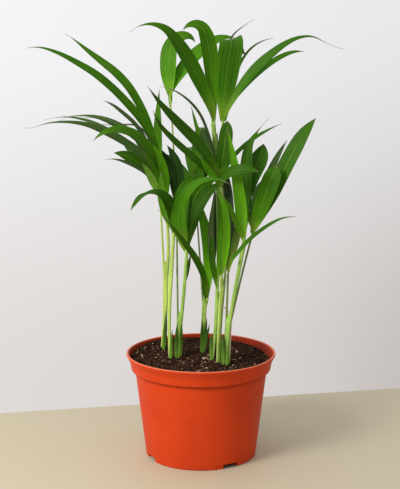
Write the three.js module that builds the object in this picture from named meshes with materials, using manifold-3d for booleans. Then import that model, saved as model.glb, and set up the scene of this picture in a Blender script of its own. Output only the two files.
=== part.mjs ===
// A young areca palm in a round nursery pot. Millimetres, +Z up, the origin under the middle of the pot.
// Seven sheathed stems stand in the potting mix. Each forks into slender stalks, and a stalk carries a
// frond of narrow leaflets. -Y is the side that the palm is seen from.
import * as THREE from 'three';
import { mergeVertices } from 'three/addons/utils/BufferGeometryUtils.js';
import Module from 'manifold-3d';

const wasm = await Module();
wasm.setup();

const clearance = 0.3;
const soilGap = 0.7;
const forkGap = 0.6;

const pot = {
  height: 107,
  rimRadius: 76,
  lip: 2,
  flareHeight: 9,
  flareFootRadius: 72.4,
  bandHeight: 16.5,
  bandFootRadius: 71.1,
  bodyTopRadius: 67.4,
  footRadius: 56.4,
  footChamfer: 1.2,
  wall: 1.6,
  floor: 2.2,
  rimChamfer: 0.5,
  stepFall: 1,
  stepRise: 0.6,
  sides: 48,
};

const drain = {
  angles: [-155, -58, 32, 122],
  recessWidth: 34,
  recessHeight: 5,
  recessDepth: 0.8,
  holeWidth: 17,
  holeHeight: 4.5,
  reach: 8,
  slant: 0.6,
  under: 1,
};

const mix = {
  surface: 98.5,
  slope: 0.035,
  slopeBack: 0.045,
  wave: 0.8,
  waveLength: 120,
  wavePhase: 1,
  edgeRadius: 69.6,
  wallGap: 0.5,
  stepGap: 0.4,
  rings: [52, 32, 12],
};

// A leaf's path is given by its lean from upright towards +X and by how far it turns away from the
// viewer, towards +Y, both in degrees at even steps from root to tip. The roll turns its upper face
// from the viewer towards -X. Lengths and widths are along the leaf and across it laid flat.
const leafShape = {
  rootShare: 0.3,
  belly: 0.42,
  taper: 1.4,
  tail: 1,
  fold: 0.1,
  thickness: 0.0105,
  leastThickness: 1,
  edgeThickness: 0.4,
  step: 12,
  leastSteps: 8,
};

const limbShape = { sides: 6, step: 45 };

// A rib tapers to this share of its stalk's width, and its leaves spring between these shares of it.
const ribTaper = 0.7;
const ribSpan = [0.15, 0.95];
const sheathRise = 2;

// Stems and sheaths

const stems = {
  stem_1: { foot: [-40.2, 34], top: [-36.8, 30, 186], width: [3.8, 5], bow: [1, 0] },
  stem_2: { foot: [-32, 6], top: [-31, 8, 183], width: [3, 3.8], bow: [-1, 0] },
  stem_3: { foot: [-23.7, 8], top: [-21.8, 3, 139], width: [4.8, 5.8], bow: [0, 0] },
  stem_4: { foot: [1.2, 27], top: [3.2, 22, 150], width: [4.4, 5.6], bow: [0, 0] },
  stem_5: { foot: [11.8, 1], top: [17, 5, 160], width: [3.6, 5], bow: [0.5, 0] },
  stem_6: { foot: [17.4, -5], top: [21, -5, 175], width: [4, 5.6], bow: [-0.5, 0] },
  stem_7: { foot: [25, -11], top: [27.6, -10, 139], width: [5.4, 6.8], bow: [0, 0] },
};

const sheaths = {
  stem_1: [{ lean: [8, 1], length: 36, width: 4 }],
  stem_2: [{ lean: [5, 2], length: 28, width: 4 }],
  stem_3: [
    { lean: [-2, 4], length: 37, width: 4.5, roll: [-30] },
    { lean: [10, 2], length: 34, width: 4.5 },
  ],
  stem_4: [
    { lean: [2, 0], length: 34, width: 4 },
    { lean: [8, 6], length: 37, width: 3.5 },
    { lean: [14, 12], length: 31, width: 3.5 },
  ],
  stem_5: [{ lean: [-7, 0], length: 26, width: 4 }],
  stem_6: [{ lean: [8, 2], length: 26, width: 4.5 }],
  stem_7: [
    { lean: [-5, 0], length: 30, width: 5 },
    { lean: [12, 6], length: 29, width: 5 },
  ],
};

// Stalks

const stalks = {
  stalk_1a: { stem: 'stem_1', at: [-1.6, 0.6], top: [-42, 24, 270], width: [2.2, 1.8], bow: [0, 0] },
  stalk_1b: { stem: 'stem_1', at: [1.8, -0.8], top: [-38.6, 14, 268], width: [3.4, 2.8], bow: [3, 0] },
  stalk_2a: { stem: 'stem_2', at: [1.1, -1], top: [-27, -5, 228], width: [2.8, 2.4], bow: [0, 0] },
  stalk_2b: { stem: 'stem_2', at: [-1.2, 1.2], top: [-31.3, 36, 362], width: [2.2, 1.6], bow: [4.5, 4] },
  stalk_3a: { stem: 'stem_3', at: [-1.8, 1], top: [-24.9, 17, 252], width: [2, 1.8], bow: [0, 0] },
  stalk_3b: {
    stem: 'stem_3',
    at: [1.4, -0.8],
    top: [-14.5, -6, 210],
    width: [3.8, 3.2],
    bow: [0.5, 0],
    leaflets: [{ up: 38, lean: [14, 10], away: [6], length: 33, width: 4 }],
  },
  stalk_4a: { stem: 'stem_4', at: [1.6, -1.5], top: [6.4, 17, 157], width: [2.6, 2.6], bow: [0, 0] },
  stalk_4b: { stem: 'stem_4', at: [-1, 1.4], top: [-5.5, 34, 262], width: [2, 1.6], bow: [0, 0] },
  stalk_5a: { stem: 'stem_5', at: [-1, 1.8], top: [12.2, 10, 338], width: [3.2, 4.6], bow: [3.5, 9.6] },
  stalk_5b: { stem: 'stem_5', at: [0.4, -1.7], top: [16.5, 1, 169], width: [2.2, 2.2], bow: [0, 0] },
  stalk_6a: { stem: 'stem_6', at: [-0.3, 2.9], top: [21.5, 20, 330], width: [3.2, 3.4], bow: [-0.8, 2] },
  stalk_6b: { stem: 'stem_6', at: [2.3, -0.4], top: [21.3, -1, 274], width: [2.4, 2.4], bow: [2.5, 1] },
  stalk_6c: { stem: 'stem_6', at: [-1, -1.4], top: [20.3, -10, 186], width: [2.2, 2.2], bow: [0, 0] },
  stalk_7a: { stem: 'stem_7', at: [-2, 1.4], top: [27.2, -3, 188], width: [2.4, 2.2], bow: [0, 0] },
  stalk_7b: { stem: 'stem_7', at: [1, -1.4], top: [42.6, -9, 219], width: [3.2, 4.6], bow: [-0.3, 0] },
  stalk_7c: { stem: 'stem_7', at: [2.2, 1.6], top: [50.6, -2, 226], width: [2.2, 2], bow: [-0.3, 1] },
};

// Fronds

const fronds = {
  frond_1a: {
    stalk: 'stalk_1a',
    rib: { lean: -28, away: 6, length: 16 },
    leaves: [
      {
        at: 0.2,
        lean: [-24, -44, -58, -86],
        away: [0, -4],
        length: 58,
        width: 12,
        roll: [-25],
        belly: 0.55,
      },
      {
        at: 0.5,
        lean: [-6, -22, -40, -52, -59, -63, -65, -77, -86, -95, -110, -84],
        away: [-14],
        length: 161,
        width: 9,
        roll: [-40],
        belly: 0.3,
        taper: 0.9,
        tail: 1.6,
      },
      {
        at: 0.66,
        lean: [-15, -30, -44, -54, -59, -61, -72, -83, -96, -107],
        away: [8],
        length: 142,
        width: 8,
        roll: [-40],
        belly: 0.3,
        taper: 0.9,
        tail: 1.6,
      },
      {
        at: 0.3,
        lean: [0, -12, -32, -44, -57, -66, -77, -90, -97, -127],
        away: [20],
        length: 152,
        width: 8,
        roll: [-40],
        belly: 0.3,
        taper: 0.9,
        tail: 1.4,
      },
      {
        at: 0.9,
        lean: [-2, -10, -22, -34, -50, -53, -72],
        away: [18],
        length: 104,
        width: 5,
        roll: [-40],
        taper: 2.5,
      },
      {
        at: 0.1,
        lean: [-24, -50, -62, -72, -100],
        away: [-6],
        length: 64,
        width: 4,
        roll: [-20],
        tail: 1.5,
      },
      {
        at: 0.75,
        lean: [0, -14, -34, -46, -58, -62, -68, -84, -125],
        away: [26, 14],
        length: 118,
        width: 4,
        roll: [-30],
        tail: 1.5,
      },
      { at: 0.9, lean: [-15, -30, -70], away: [44, 64], length: 98, width: 12, roll: [-30] },
      { at: 0.5, lean: [-30, -46, -64], away: [40, 60], length: 84, width: 14, roll: [-30] },
    ],
  },
  frond_1b: {
    stalk: 'stalk_1b',
    rib: { lean: -6, away: 0, length: 18 },
    leaves: [
      {
        at: 0.2,
        lean: [-2, -8, -20, -30, -42, -58, -84, -114, -138],
        away: [-26],
        length: 119,
        width: 11,
        roll: [-40],
        taper: 1.6,
      },
      {
        at: 0.5,
        lean: [-2, -9, -19, -32, -40, -44, -49, -58, -61, -72, -104],
        away: [-10],
        length: 207,
        width: 11,
        roll: [-50],
        tail: 1.2,
      },
      {
        at: 0.8,
        lean: [-6, -11, -15, -21, -27, -32, -44, -53, -52, -50, -60],
        away: [8],
        length: 184,
        width: 11,
        roll: [-45],
        belly: 0.55,
        tail: 1.6,
      },
      { at: 1, lean: [-8, 0, 4], away: [8], length: 88, width: 9, roll: [10], belly: 0.45, taper: 0.9 },
    ],
  },
  frond_2a: {
    stalk: 'stalk_2a',
    rib: { lean: -6, away: 0, length: 6 },
    leaves: [
      {
        at: 0.3,
        lean: [0, -2, -14, -36, -60, -94, -138, -160],
        away: [-20, -42, -40, -36],
        length: 97,
        width: 13,
        roll: [10, 0, -10, -20, -40, -72, -35, -20],
      },
      { at: 0.9, lean: [-24, 0], away: [4, -2], length: 60, width: 11, roll: [10] },
    ],
  },
  frond_2b: {
    stalk: 'stalk_2b',
    rib: { lean: 0, away: 0, length: 5 },
    leaves: [
      {
        at: 0.6,
        lean: [-4, -4, 1, 5, 35, 85, 162],
        away: [0, 6, 12, 20],
        length: 82,
        width: 18,
        roll: [10, 40],
      },
      { at: 0.9, lean: [18, 34, 47, 58, 105], away: [12, 10], length: 95, width: 15, roll: [20, 40] },
    ],
  },
  frond_3a: {
    stalk: 'stalk_3a',
    rib: { lean: 0, away: 0, length: 6 },
    leaves: [
      { at: 0.4, lean: [-4, -8, -24, -36], away: [4, 12], length: 64, width: 10, roll: [-20] },
      { at: 0.9, lean: [12, 2, -16, -40], away: [4, 8], length: 62, width: 12, roll: [10] },
    ],
  },
  frond_3b: {
    stalk: 'stalk_3b',
    rib: { lean: 0, away: 0, length: 6 },
    leaves: [
      { at: 0.3, lean: [-16, -12, 4, 20, 56], away: [16, 8, 10, 40], length: 84, width: 18, roll: [14] },
      {
        at: 0.9,
        lean: [-20, -15, -7, 8, 26, 42, 70, 98, 132],
        away: [-26, -18],
        length: 121,
        width: 17,
        roll: [20, 40],
        belly: 0.3,
        taper: 0.8,
        tail: 1.3,
      },
      { at: 0.6, lean: [8, 14, 24, 44, 80], away: [6, 12], length: 84, width: 13, roll: [20] },
    ],
  },
  frond_4a: {
    stalk: 'stalk_4a',
    rib: { lean: 0, away: -5, length: 5 },
    leaves: [
      {
        at: 0.3,
        lean: [-8, -14, -25, -30, -31, -35, -42],
        away: [-38, -16],
        length: 124,
        width: 7,
        roll: [-15],
        taper: 0.9,
        tail: 1.3,
      },
      { at: 0.9, lean: [6, 4, -4, -14, -16], away: [0], length: 106, width: 10, roll: [15] },
    ],
  },
  frond_4b: {
    stalk: 'stalk_4b',
    rib: { lean: -5, away: 20, length: 16 },
    leaves: [
      { at: 0.2, lean: [-30, -60, -100], away: [45, 60], length: 105, width: 13, roll: [-20] },
      { at: 0.5, lean: [-5, -10, -20], away: [40, 75, 110], length: 120, width: 14, roll: [0] },
      { at: 0.8, lean: [20, 45, 90], away: [45, 65, 90], length: 115, width: 14, roll: [20] },
      { at: 1, lean: [5, 10, 10], away: [25, 60, 100], length: 110, width: 13, roll: [10] },
    ],
  },
  frond_5a: {
    stalk: 'stalk_5a',
    rib: { lean: 2, away: 0, length: 6 },
    leaves: [
      {
        at: 0.4,
        lean: [-6, -18, -23, -26, -27, -30, -34, -40, -72, -104, -132],
        away: [-22, -16],
        length: 147,
        width: 17,
        roll: [-35],
        taper: 1.2,
        tail: 2,
      },
      {
        at: 0.9,
        lean: [-2, -2, -2, -3, -4, -8, -12, -24, -90, -146],
        away: [-10],
        length: 114,
        width: 16,
        roll: [-20, -10, -30],
        belly: 0.62,
        taper: 1.2,
      },
    ],
  },
  frond_5b: {
    stalk: 'stalk_5b',
    rib: { lean: 0, away: 0, length: 5 },
    leaves: [
      { at: 0.3, lean: [-10, -9, -3, 5, 13], away: [2], length: 98, width: 6.5, roll: [-20] },
      { at: 0.9, lean: [4, 2, -3], away: [-8, -2], length: 100, width: 5, roll: [15] },
      { at: 0.6, lean: [-12, -9, -3, 4], away: [-8, -2], length: 62, width: 6, roll: [-10] },
    ],
  },
  frond_6a: {
    stalk: 'stalk_6a',
    rib: { lean: 4, away: 0, length: 12 },
    leaves: [
      {
        at: 0.9,
        lean: [20, 26, 30, 34, 40, 45, 49, 54, 64, 84, 118, 115, 98],
        away: [-8],
        length: 162,
        width: 11.5,
        roll: [40],
        belly: 0.4,
        taper: 0.9,
        tail: 2.4,
      },
      {
        at: 0.5,
        lean: [14, 27, 40, 47, 51, 58, 70, 96],
        away: [24],
        length: 129,
        width: 7,
        roll: [40],
        taper: 2.6,
      },
      { at: 0.8, lean: [12, 13, 13, 18, 36, 60, 86], away: [30], length: 124, width: 4, roll: [40] },
      {
        at: 0.9,
        lean: [2, 4, 6, 8, 10, -10, -50, -50],
        away: [0, 0, 0, 0, 20, 90, 140, 150],
        length: 126,
        width: 24,
        roll: [0],
        fold: 0.04,
        belly: 0.5,
        taper: 1.8,
      },
      { at: 1, lean: [0, 0, 2, 4, 20, 54, 60], away: [5], length: 114, width: 4, roll: [20], tail: 1.5 },
    ],
  },
  frond_6b: {
    stalk: 'stalk_6b',
    rib: { lean: -14, away: 4, length: 12 },
    leaves: [
      { at: 0.2, lean: [-40, -42, -46, -41, -16], away: [-34], length: 125, width: 7, roll: [-30] },
      {
        at: 0.4,
        lean: [-16, -33, -43, -41, -31],
        away: [-26, -20],
        length: 134,
        width: 12,
        roll: [-35],
        taper: 1.2,
        tail: 1.2,
      },
      { at: 0.7, lean: [-12, -28, -34, -44, -62], away: [8], length: 116, width: 3.5, roll: [-30] },
      { at: 1, lean: [-24, -20, -12], away: [8], length: 54, width: 11, roll: [-20], taper: 3 },
      {
        at: 0.9,
        lean: [8, 8, 7, 6],
        away: [-8, -8, 14, 26],
        length: 60,
        width: 14,
        roll: [0],
        taper: 3.4,
      },
      { at: 0.6, lean: [-34, -24, -16, -14], away: [8], length: 82, width: 5, roll: [-15] },
      { at: 0.3, lean: [-41, -34, -25], away: [-44], length: 53, width: 7, roll: [-20] },
      { at: 0.1, lean: [-26, 20, 62, 84, 110], away: [-60, -36, 0], length: 61, width: 10, roll: [30] },
      { at: 0.5, lean: [12, 35, 51, 62, 68], away: [16], length: 92, width: 6, roll: [30], tail: 1.3 },
    ],
  },
  frond_6c: {
    stalk: 'stalk_6c',
    rib: { lean: 4, away: 0, length: 5 },
    leaves: [
      { at: 0.3, lean: [10, 6, 0, -10, -40], away: [-18, -10], length: 98, width: 8, roll: [-20] },
    ],
  },
  frond_7a: {
    stalk: 'stalk_7a',
    rib: { lean: 8, away: 0, length: 5 },
    leaves: [
      { at: 0.3, lean: [0, 30, 36, 46, 56, 90], away: [-40, -26], length: 117, width: 4.5, roll: [40] },
      { at: 0.9, lean: [14, 13, 4], away: [10, 20], length: 78, width: 8, roll: [10] },
    ],
  },
  frond_7b: {
    stalk: 'stalk_7b',
    rib: { lean: 2, away: 0, length: 8 },
    leaves: [
      { at: 0.3, lean: [-20, -22, -30], away: [-14], length: 56, width: 5.5, roll: [-10] },
      {
        at: 0.6,
        lean: [-6, -7, -10, -12],
        away: [-6, -2],
        length: 115,
        width: 12.5,
        roll: [-15],
        belly: 0.3,
        taper: 1,
      },
      {
        at: 1,
        lean: [3, 3, 3, 2, 1, 2, 6, 30, 40, 45],
        away: [14, 6],
        length: 127,
        width: 13,
        roll: [15],
        belly: 0.45,
        taper: 1.6,
        tail: 3.5,
      },
    ],
  },
  frond_7c: {
    stalk: 'stalk_7c',
    rib: { lean: 12, away: 4, length: 10 },
    leaves: [
      { at: 0.3, lean: [19, 23, 26, 31, 44], away: [0], length: 133, width: 14.5, roll: [30] },
      {
        at: 0.5,
        lean: [15, 18, 20, 20],
        away: [-18, -12, -4, 16],
        length: 73,
        width: 18,
        roll: [10],
        taper: 3.4,
      },
      {
        at: 1,
        lean: [2, 6, 11, 11, 7],
        away: [12, 10, 14, 30],
        length: 88,
        width: 19,
        roll: [5],
        taper: 3.4,
      },
      { at: 0.8, lean: [12, 18, 24, 34], away: [14], length: 98, width: 6, roll: [30] },
      { at: 1, lean: [10, 24, 50], away: [50, 65, 80], length: 100, width: 14, roll: [20] },
    ],
  },
};

const materials = {
  pot: new THREE.MeshStandardMaterial({ color: 0xd2431f, roughness: 0.45, metalness: 0 }),
  mix: new THREE.MeshStandardMaterial({ color: 0x33241a, roughness: 0.95, metalness: 0 }),
  stem: new THREE.MeshStandardMaterial({ color: 0x8fb54a, roughness: 0.5, metalness: 0 }),
  stalk: new THREE.MeshStandardMaterial({ color: 0x7cae3f, roughness: 0.5, metalness: 0 }),
  frond: new THREE.MeshStandardMaterial({ color: 0x2f7a22, roughness: 0.45, metalness: 0 }),
};

const radians = THREE.MathUtils.degToRad;

// A value at share t along a list of values at even steps
function along(values, t) {
  const place = t * (values.length - 1);
  const step = Math.min(Math.floor(place), values.length - 2);
  if (values.length === 1) {
    return values[0];
  }
  return THREE.MathUtils.lerp(values[step], values[step + 1], place - step);
}

function solidOf(geometry) {
  const bare = new THREE.BufferGeometry();
  bare.setAttribute('position', geometry.getAttribute('position').clone());
  bare.setIndex(geometry.getIndex());
  const merged = mergeVertices(bare, 1e-4);
  const triVerts = [];
  const index = merged.getIndex().array;
  for (let i = 0; i < index.length; i += 3) {
    const corners = new Set([index[i], index[i + 1], index[i + 2]]);
    if (corners.size === 3) {
      triVerts.push(...corners);
    }
  }
  const vertProperties = merged.getAttribute('position').array;
  const shell = { numProp: 3, vertProperties, triVerts: new Uint32Array(triVerts) };
  return new wasm.Manifold(new wasm.Mesh(shell));
}

function geometryOf(solid) {
  const { vertProperties, triVerts, numProp, numVert } = solid.getMesh();
  const positions = new Float32Array(numVert * 3);
  for (let i = 0; i < numVert; i += 1) {
    positions.set(vertProperties.subarray(i * numProp, i * numProp + 3), i * 3);
  }
  const geometry = new THREE.BufferGeometry();
  geometry.setAttribute('position', new THREE.BufferAttribute(positions, 3));
  geometry.setIndex(new THREE.BufferAttribute(triVerts, 1));
  geometry.computeVertexNormals();
  return geometry;
}

// A closed skin over rings of points, whose last ring may be a single point
function loft(rings) {
  const positions = rings.flat().flatMap((point) => point.toArray());
  const faces = [];
  const sides = rings[0].length;
  for (let k = 1; k < sides - 1; k += 1) {
    faces.push(0, k + 1, k);
  }
  rings.slice(1).forEach((ring, i) => {
    const low = i * sides;
    const high = low + sides;
    for (let k = 0; k < sides; k += 1) {
      const next = (k + 1) % sides;
      if (ring.length === 1) {
        faces.push(low + k, low + next, high);
      } else {
        faces.push(low + k, low + next, high + next, low + k, high + next, high + k);
      }
    }
  });
  const last = (rings.length - 1) * sides;
  if (rings.at(-1).length > 1) {
    for (let k = 1; k < sides - 1; k += 1) {
      faces.push(last, last + k, last + k + 1);
    }
  }
  const geometry = new THREE.BufferGeometry();
  geometry.setAttribute('position', new THREE.Float32BufferAttribute(positions, 3));
  geometry.setIndex(faces);
  return solidOf(geometry);
}

function fuse(solids) {
  return solids.reduce((whole, solid) => whole.add(solid));
}

function heading(lean, away) {
  const up = Math.cos(radians(away));
  return new THREE.Vector3(
    Math.sin(radians(lean)) * up,
    Math.sin(radians(away)),
    Math.cos(radians(lean)) * up,
  );
}

function limbCurve(foot, top, [bowX, bowY]) {
  const middle = foot.clone().lerp(top, 0.5).add(new THREE.Vector3(2 * bowX, 2 * bowY, 0));
  return new THREE.QuadraticBezierCurve3(foot, middle, top);
}

// A round limb between two points, with a slight bow, that tapers between its two end widths
function limb(foot, top, [footWidth, topWidth], bow, flatFoot = false) {
  const curve = limbCurve(foot, top, bow);
  const steps = Math.max(1, Math.ceil(foot.distanceTo(top) / limbShape.step));
  const rings = [];
  for (let i = 0; i <= steps; i += 1) {
    const t = i / steps;
    const centre = curve.getPoint(t);
    const forward = flatFoot && i === 0 ? new THREE.Vector3(0, 0, 1) : curve.getTangent(t);
    const side = new THREE.Vector3(1, 0, 0).addScaledVector(forward, -forward.x).normalize();
    const front = forward.clone().cross(side);
    const radius = THREE.MathUtils.lerp(footWidth, topWidth, t) / 2;
    const ring = [];
    for (let k = 0; k < limbShape.sides; k += 1) {
      const turn = (2 * Math.PI * k) / limbShape.sides;
      ring.push(
        centre
          .clone()
          .addScaledVector(side, radius * Math.cos(turn))
          .addScaledVector(front, radius * Math.sin(turn)),
      );
    }
    rings.push(ring);
  }
  return loft(rings);
}

// How wide a leaf is at share t, from its clasping root over its belly to the point
function widthShare(t, belly, taper, tail) {
  if (t < belly) {
    const rise = Math.sin((Math.PI / 2) * (t / belly));
    return THREE.MathUtils.lerp(leafShape.rootShare, 1, rise);
  }
  return Math.cos((Math.PI / 2) * ((t - belly) / (1 - belly)) ** taper) ** tail;
}

// A leaf from its root: a blade folded a little along its rib, and thickest there
function blade(root, leaf) {
  const { lean, length, width } = leaf;
  const away = leaf.away ?? [0];
  const roll = leaf.roll ?? [0];
  const belly = leaf.belly ?? leafShape.belly;
  const taper = leaf.taper ?? leafShape.taper;
  const tail = leaf.tail ?? leafShape.tail;
  const steps = Math.max(leafShape.leastSteps, Math.round(length / leafShape.step));
  const thickness = Math.max(leafShape.leastThickness, length * leafShape.thickness);
  const point = root.clone();
  const rings = [];
  for (let i = 0; i < steps; i += 1) {
    const t = i / steps;
    const forward = heading(along(lean, t), along(away, t));
    const across = new THREE.Vector3(
      Math.cos(radians(along(lean, t))),
      0,
      -Math.sin(radians(along(lean, t))),
    );
    const turn = radians(along(roll, t));
    const front = across.clone().cross(forward);
    const side = across.clone().multiplyScalar(Math.cos(turn)).addScaledVector(front, Math.sin(turn));
    const face = side.clone().cross(forward);
    const share = widthShare(t, belly, taper, tail);
    const half = (width / 2) * share;
    const rise = (leaf.fold ?? leafShape.fold) * width * share;
    const thick = (thickness / 2) * Math.min(1, leafShape.edgeThickness + 2 * share);
    rings.push([
      point.clone().addScaledVector(face, thick),
      point.clone().addScaledVector(side, half).addScaledVector(face, rise),
      point.clone().addScaledVector(face, -thick),
      point.clone().addScaledVector(side, -half).addScaledVector(face, rise),
    ]);
    const middle = t + 0.5 / steps;
    point.addScaledVector(heading(along(lean, middle), along(away, middle)), length / steps);
  }
  rings.push([point]);
  return loft(rings);
}

function lathe(profile, sides) {
  const outline = profile.map(([radius, height]) => new THREE.Vector2(radius, height));
  const geometry = new THREE.LatheGeometry(outline, sides);
  geometry.rotateX(Math.PI / 2);
  return geometry;
}

// A box across the foot of the pot's wall
function boxAt(width, depth, height, angle) {
  const geometry = new THREE.BoxGeometry(width, depth, height);
  geometry.translate(pot.footRadius, 0, 0);
  geometry.rotateZ(radians(angle));
  return solidOf(geometry);
}

function makePot() {
  const { height, rimRadius, lip, flareFootRadius, bandFootRadius, bodyTopRadius } = pot;
  const { footRadius, wall, floor } = pot;
  const flareFoot = height - pot.flareHeight;
  const bandFoot = height - pot.bandHeight;
  const shell = lathe(
    [
      [0, 0],
      [footRadius - pot.footChamfer, 0],
      [footRadius, pot.footChamfer],
      [bodyTopRadius, bandFoot - pot.stepFall],
      [bandFootRadius, bandFoot],
      [flareFootRadius, flareFoot],
      [rimRadius, height - lip],
      [rimRadius, height - pot.rimChamfer],
      [rimRadius - pot.rimChamfer, height],
      [rimRadius - wall, height],
      [flareFootRadius - wall, flareFoot],
      [bandFootRadius - wall, bandFoot + pot.stepRise],
      [bodyTopRadius - wall, bandFoot - pot.stepFall + pot.stepRise],
      [footRadius - wall, floor],
      [0, floor],
    ],
    pot.sides,
  );
  const ring = solidOf(
    lathe(
      [
        [footRadius - drain.recessDepth, -drain.under],
        [footRadius + drain.reach, -drain.under],
        [footRadius + drain.reach, drain.recessHeight],
        [footRadius - drain.recessDepth + drain.slant, drain.recessHeight],
        [footRadius - drain.recessDepth, -drain.under],
      ],
      pot.sides,
    ),
  );
  let body = solidOf(shell);
  for (const angle of drain.angles) {
    const recess = boxAt(2 * drain.reach, drain.recessWidth, 3 * drain.recessHeight, angle);
    const hole = boxAt(2 * drain.reach, drain.holeWidth, 2 * drain.holeHeight, angle);
    body = body.subtract(ring.intersect(recess)).subtract(hole);
  }
  return body;
}

// Height of the potting mix, which lies a little higher at the left and back and waves gently
function mixHeight(x, y) {
  const turn = (2 * Math.PI) / mix.waveLength;
  const swell = Math.sin(x * turn + mix.wavePhase) * Math.cos(y * turn);
  return mix.surface - mix.slope * x + mix.slopeBack * y + mix.wave * swell;
}

function makeMix() {
  const bandFoot = pot.height - pot.bandHeight;
  const inset = pot.wall + mix.wallGap;
  const geometry = lathe(
    [
      [0, pot.floor + clearance],
      [pot.footRadius - inset, pot.floor + clearance],
      [pot.bodyTopRadius - inset, bandFoot - pot.stepFall + pot.stepRise + mix.stepGap],
      [pot.bandFootRadius - inset, bandFoot + pot.stepRise + mix.stepGap],
      [mix.edgeRadius, mix.surface],
      ...mix.rings.map((radius) => [radius, mix.surface]),
      [0, mix.surface],
    ],
    pot.sides,
  );
  const position = geometry.getAttribute('position');
  for (let i = 0; i < position.count; i += 1) {
    if (position.getZ(i) > (bandFoot + mix.surface) / 2) {
      position.setZ(i, mixHeight(position.getX(i), position.getY(i)));
    }
  }
  return solidOf(geometry);
}

function stemFoot(name) {
  const [x, y] = stems[name].foot;
  return new THREE.Vector3(x, y, mixHeight(x, y) + soilGap);
}

function makeStem(name) {
  const { top, width, bow } = stems[name];
  const foot = stemFoot(name);
  const body = limb(foot, new THREE.Vector3(...top), width, bow, true);
  const root = foot.clone().add(new THREE.Vector3(0, -width[0] / 4, sheathRise));
  return fuse([body, ...sheaths[name].map((sheath) => blade(root, sheath))]);
}

function stalkEnds(name) {
  const { stem, at, top } = stalks[name];
  const fork = new THREE.Vector3(...stems[stem].top);
  const foot = fork.clone().add(new THREE.Vector3(at[0], at[1], forkGap));
  return [foot, new THREE.Vector3(...top)];
}

function makeStalk(name) {
  const { width, bow, leaflets = [] } = stalks[name];
  const [foot, top] = stalkEnds(name);
  const body = limb(foot, top, width, bow, true);
  const scales = leaflets.map((leaflet) => {
    const root = foot.clone().lerp(top, leaflet.up / foot.distanceTo(top));
    return blade(root, leaflet);
  });
  return fuse([body, ...scales]);
}

// The foot of a rib clears the end of its stalk, also where the two lean differently.
function ribFoot(stalk, forward) {
  const [foot, top] = stalkEnds(stalk);
  const { width, bow } = stalks[stalk];
  const tilt = limbCurve(foot, top, bow).getTangent(1).angleTo(forward);
  return top.clone().addScaledVector(forward, clearance + (width[1] / 2) * Math.sin(tilt));
}

function makeFrond(name) {
  const { stalk, rib, leaves } = fronds[name];
  const forward = heading(rib.lean, rib.away);
  const width = stalks[stalk].width[1];
  const foot = ribFoot(stalk, forward);
  const tip = foot.clone().addScaledVector(forward, rib.length);
  const spine = limb(foot, tip, [width, ribTaper * width], [0, 0]);
  const blades = leaves.map((leaf) => {
    const share = THREE.MathUtils.lerp(ribSpan[0], ribSpan[1], leaf.at);
    return blade(foot.clone().lerp(tip, share), leaf);
  });
  return fuse([spine, ...blades]);
}

const palm = new THREE.Group();

function addPiece(group, name, solid, material) {
  const mesh = new THREE.Mesh(geometryOf(solid), material);
  mesh.name = name;
  group.add(mesh);
}

const container = new THREE.Group();
addPiece(container, 'pot', makePot(), materials.pot);
addPiece(container, 'potting_mix', makeMix(), materials.mix);
palm.add(container);

const plant = new THREE.Group();
for (const name of Object.keys(stems)) {
  addPiece(plant, name, makeStem(name), materials.stem);
}
for (const name of Object.keys(stalks)) {
  addPiece(plant, name, makeStalk(name), materials.stalk);
}
for (const name of Object.keys(fronds)) {
  addPiece(plant, name, makeFrond(name), materials.frond);
}
palm.add(plant);

export default palm;
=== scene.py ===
import math

import bmesh
import bpy
import numpy as np
from mathutils import Euler, Matrix, Vector, noise


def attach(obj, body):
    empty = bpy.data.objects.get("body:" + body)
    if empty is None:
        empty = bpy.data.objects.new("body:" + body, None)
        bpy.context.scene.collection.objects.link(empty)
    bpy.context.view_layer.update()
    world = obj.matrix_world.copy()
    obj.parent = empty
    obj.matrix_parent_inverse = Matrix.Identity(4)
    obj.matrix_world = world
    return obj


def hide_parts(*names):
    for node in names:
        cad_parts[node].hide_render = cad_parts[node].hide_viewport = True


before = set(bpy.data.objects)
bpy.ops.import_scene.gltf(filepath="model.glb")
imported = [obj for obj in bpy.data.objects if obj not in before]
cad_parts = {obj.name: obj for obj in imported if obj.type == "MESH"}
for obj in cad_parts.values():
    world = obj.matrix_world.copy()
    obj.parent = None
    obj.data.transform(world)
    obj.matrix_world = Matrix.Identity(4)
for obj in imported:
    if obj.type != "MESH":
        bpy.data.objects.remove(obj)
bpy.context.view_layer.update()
mm = 0.001
print("frame loaded")

bpy.context.scene.view_settings.view_transform = "Standard"


# An input takes a link from another node, or a plain value
def feed(tree, socket, value):
    if isinstance(value, bpy.types.NodeSocket):
        tree.links.new(value, socket)
    else:
        socket.default_value = value


def put(tree, kind, feeds=None, **settings):
    node = tree.nodes.new(kind)
    for name, value in settings.items():
        setattr(node, name, value)
    for key, value in (feeds or {}).items():
        feed(tree, node.inputs[key], value)
    return node


def calc(tree, operation, *values):
    return put(tree, "ShaderNodeMath", dict(enumerate(values)), operation=operation).outputs[0]


def product(tree, first, *others):
    for other in others:
        first = calc(tree, "MULTIPLY", first, other)
    return first


def ramp(tree, value, fromLow, fromHigh, toLow=0.0, toHigh=1.0, smooth=True):
    feeds = dict(enumerate((value, fromLow, fromHigh, toLow, toHigh)))
    kind = "SMOOTHSTEP" if smooth else "LINEAR"
    return put(tree, "ShaderNodeMapRange", feeds, interpolation_type=kind).outputs[0]


def blendColour(tree, share, first, second, how="MIX"):
    first, second = ((*c, 1.0) if isinstance(c, tuple) else c for c in (first, second))
    feeds = {0: share, 6: first, 7: second}
    return put(tree, "ShaderNodeMix", feeds, data_type="RGBA", blend_type=how).outputs[2]


# A colour times a grey of the given level
def shaded(tree, colour, level):
    grey = put(tree, "ShaderNodeCombineColor", {0: level, 1: level, 2: level}).outputs[0]
    return blendColour(tree, 1.0, colour, grey, "MULTIPLY")


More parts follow.
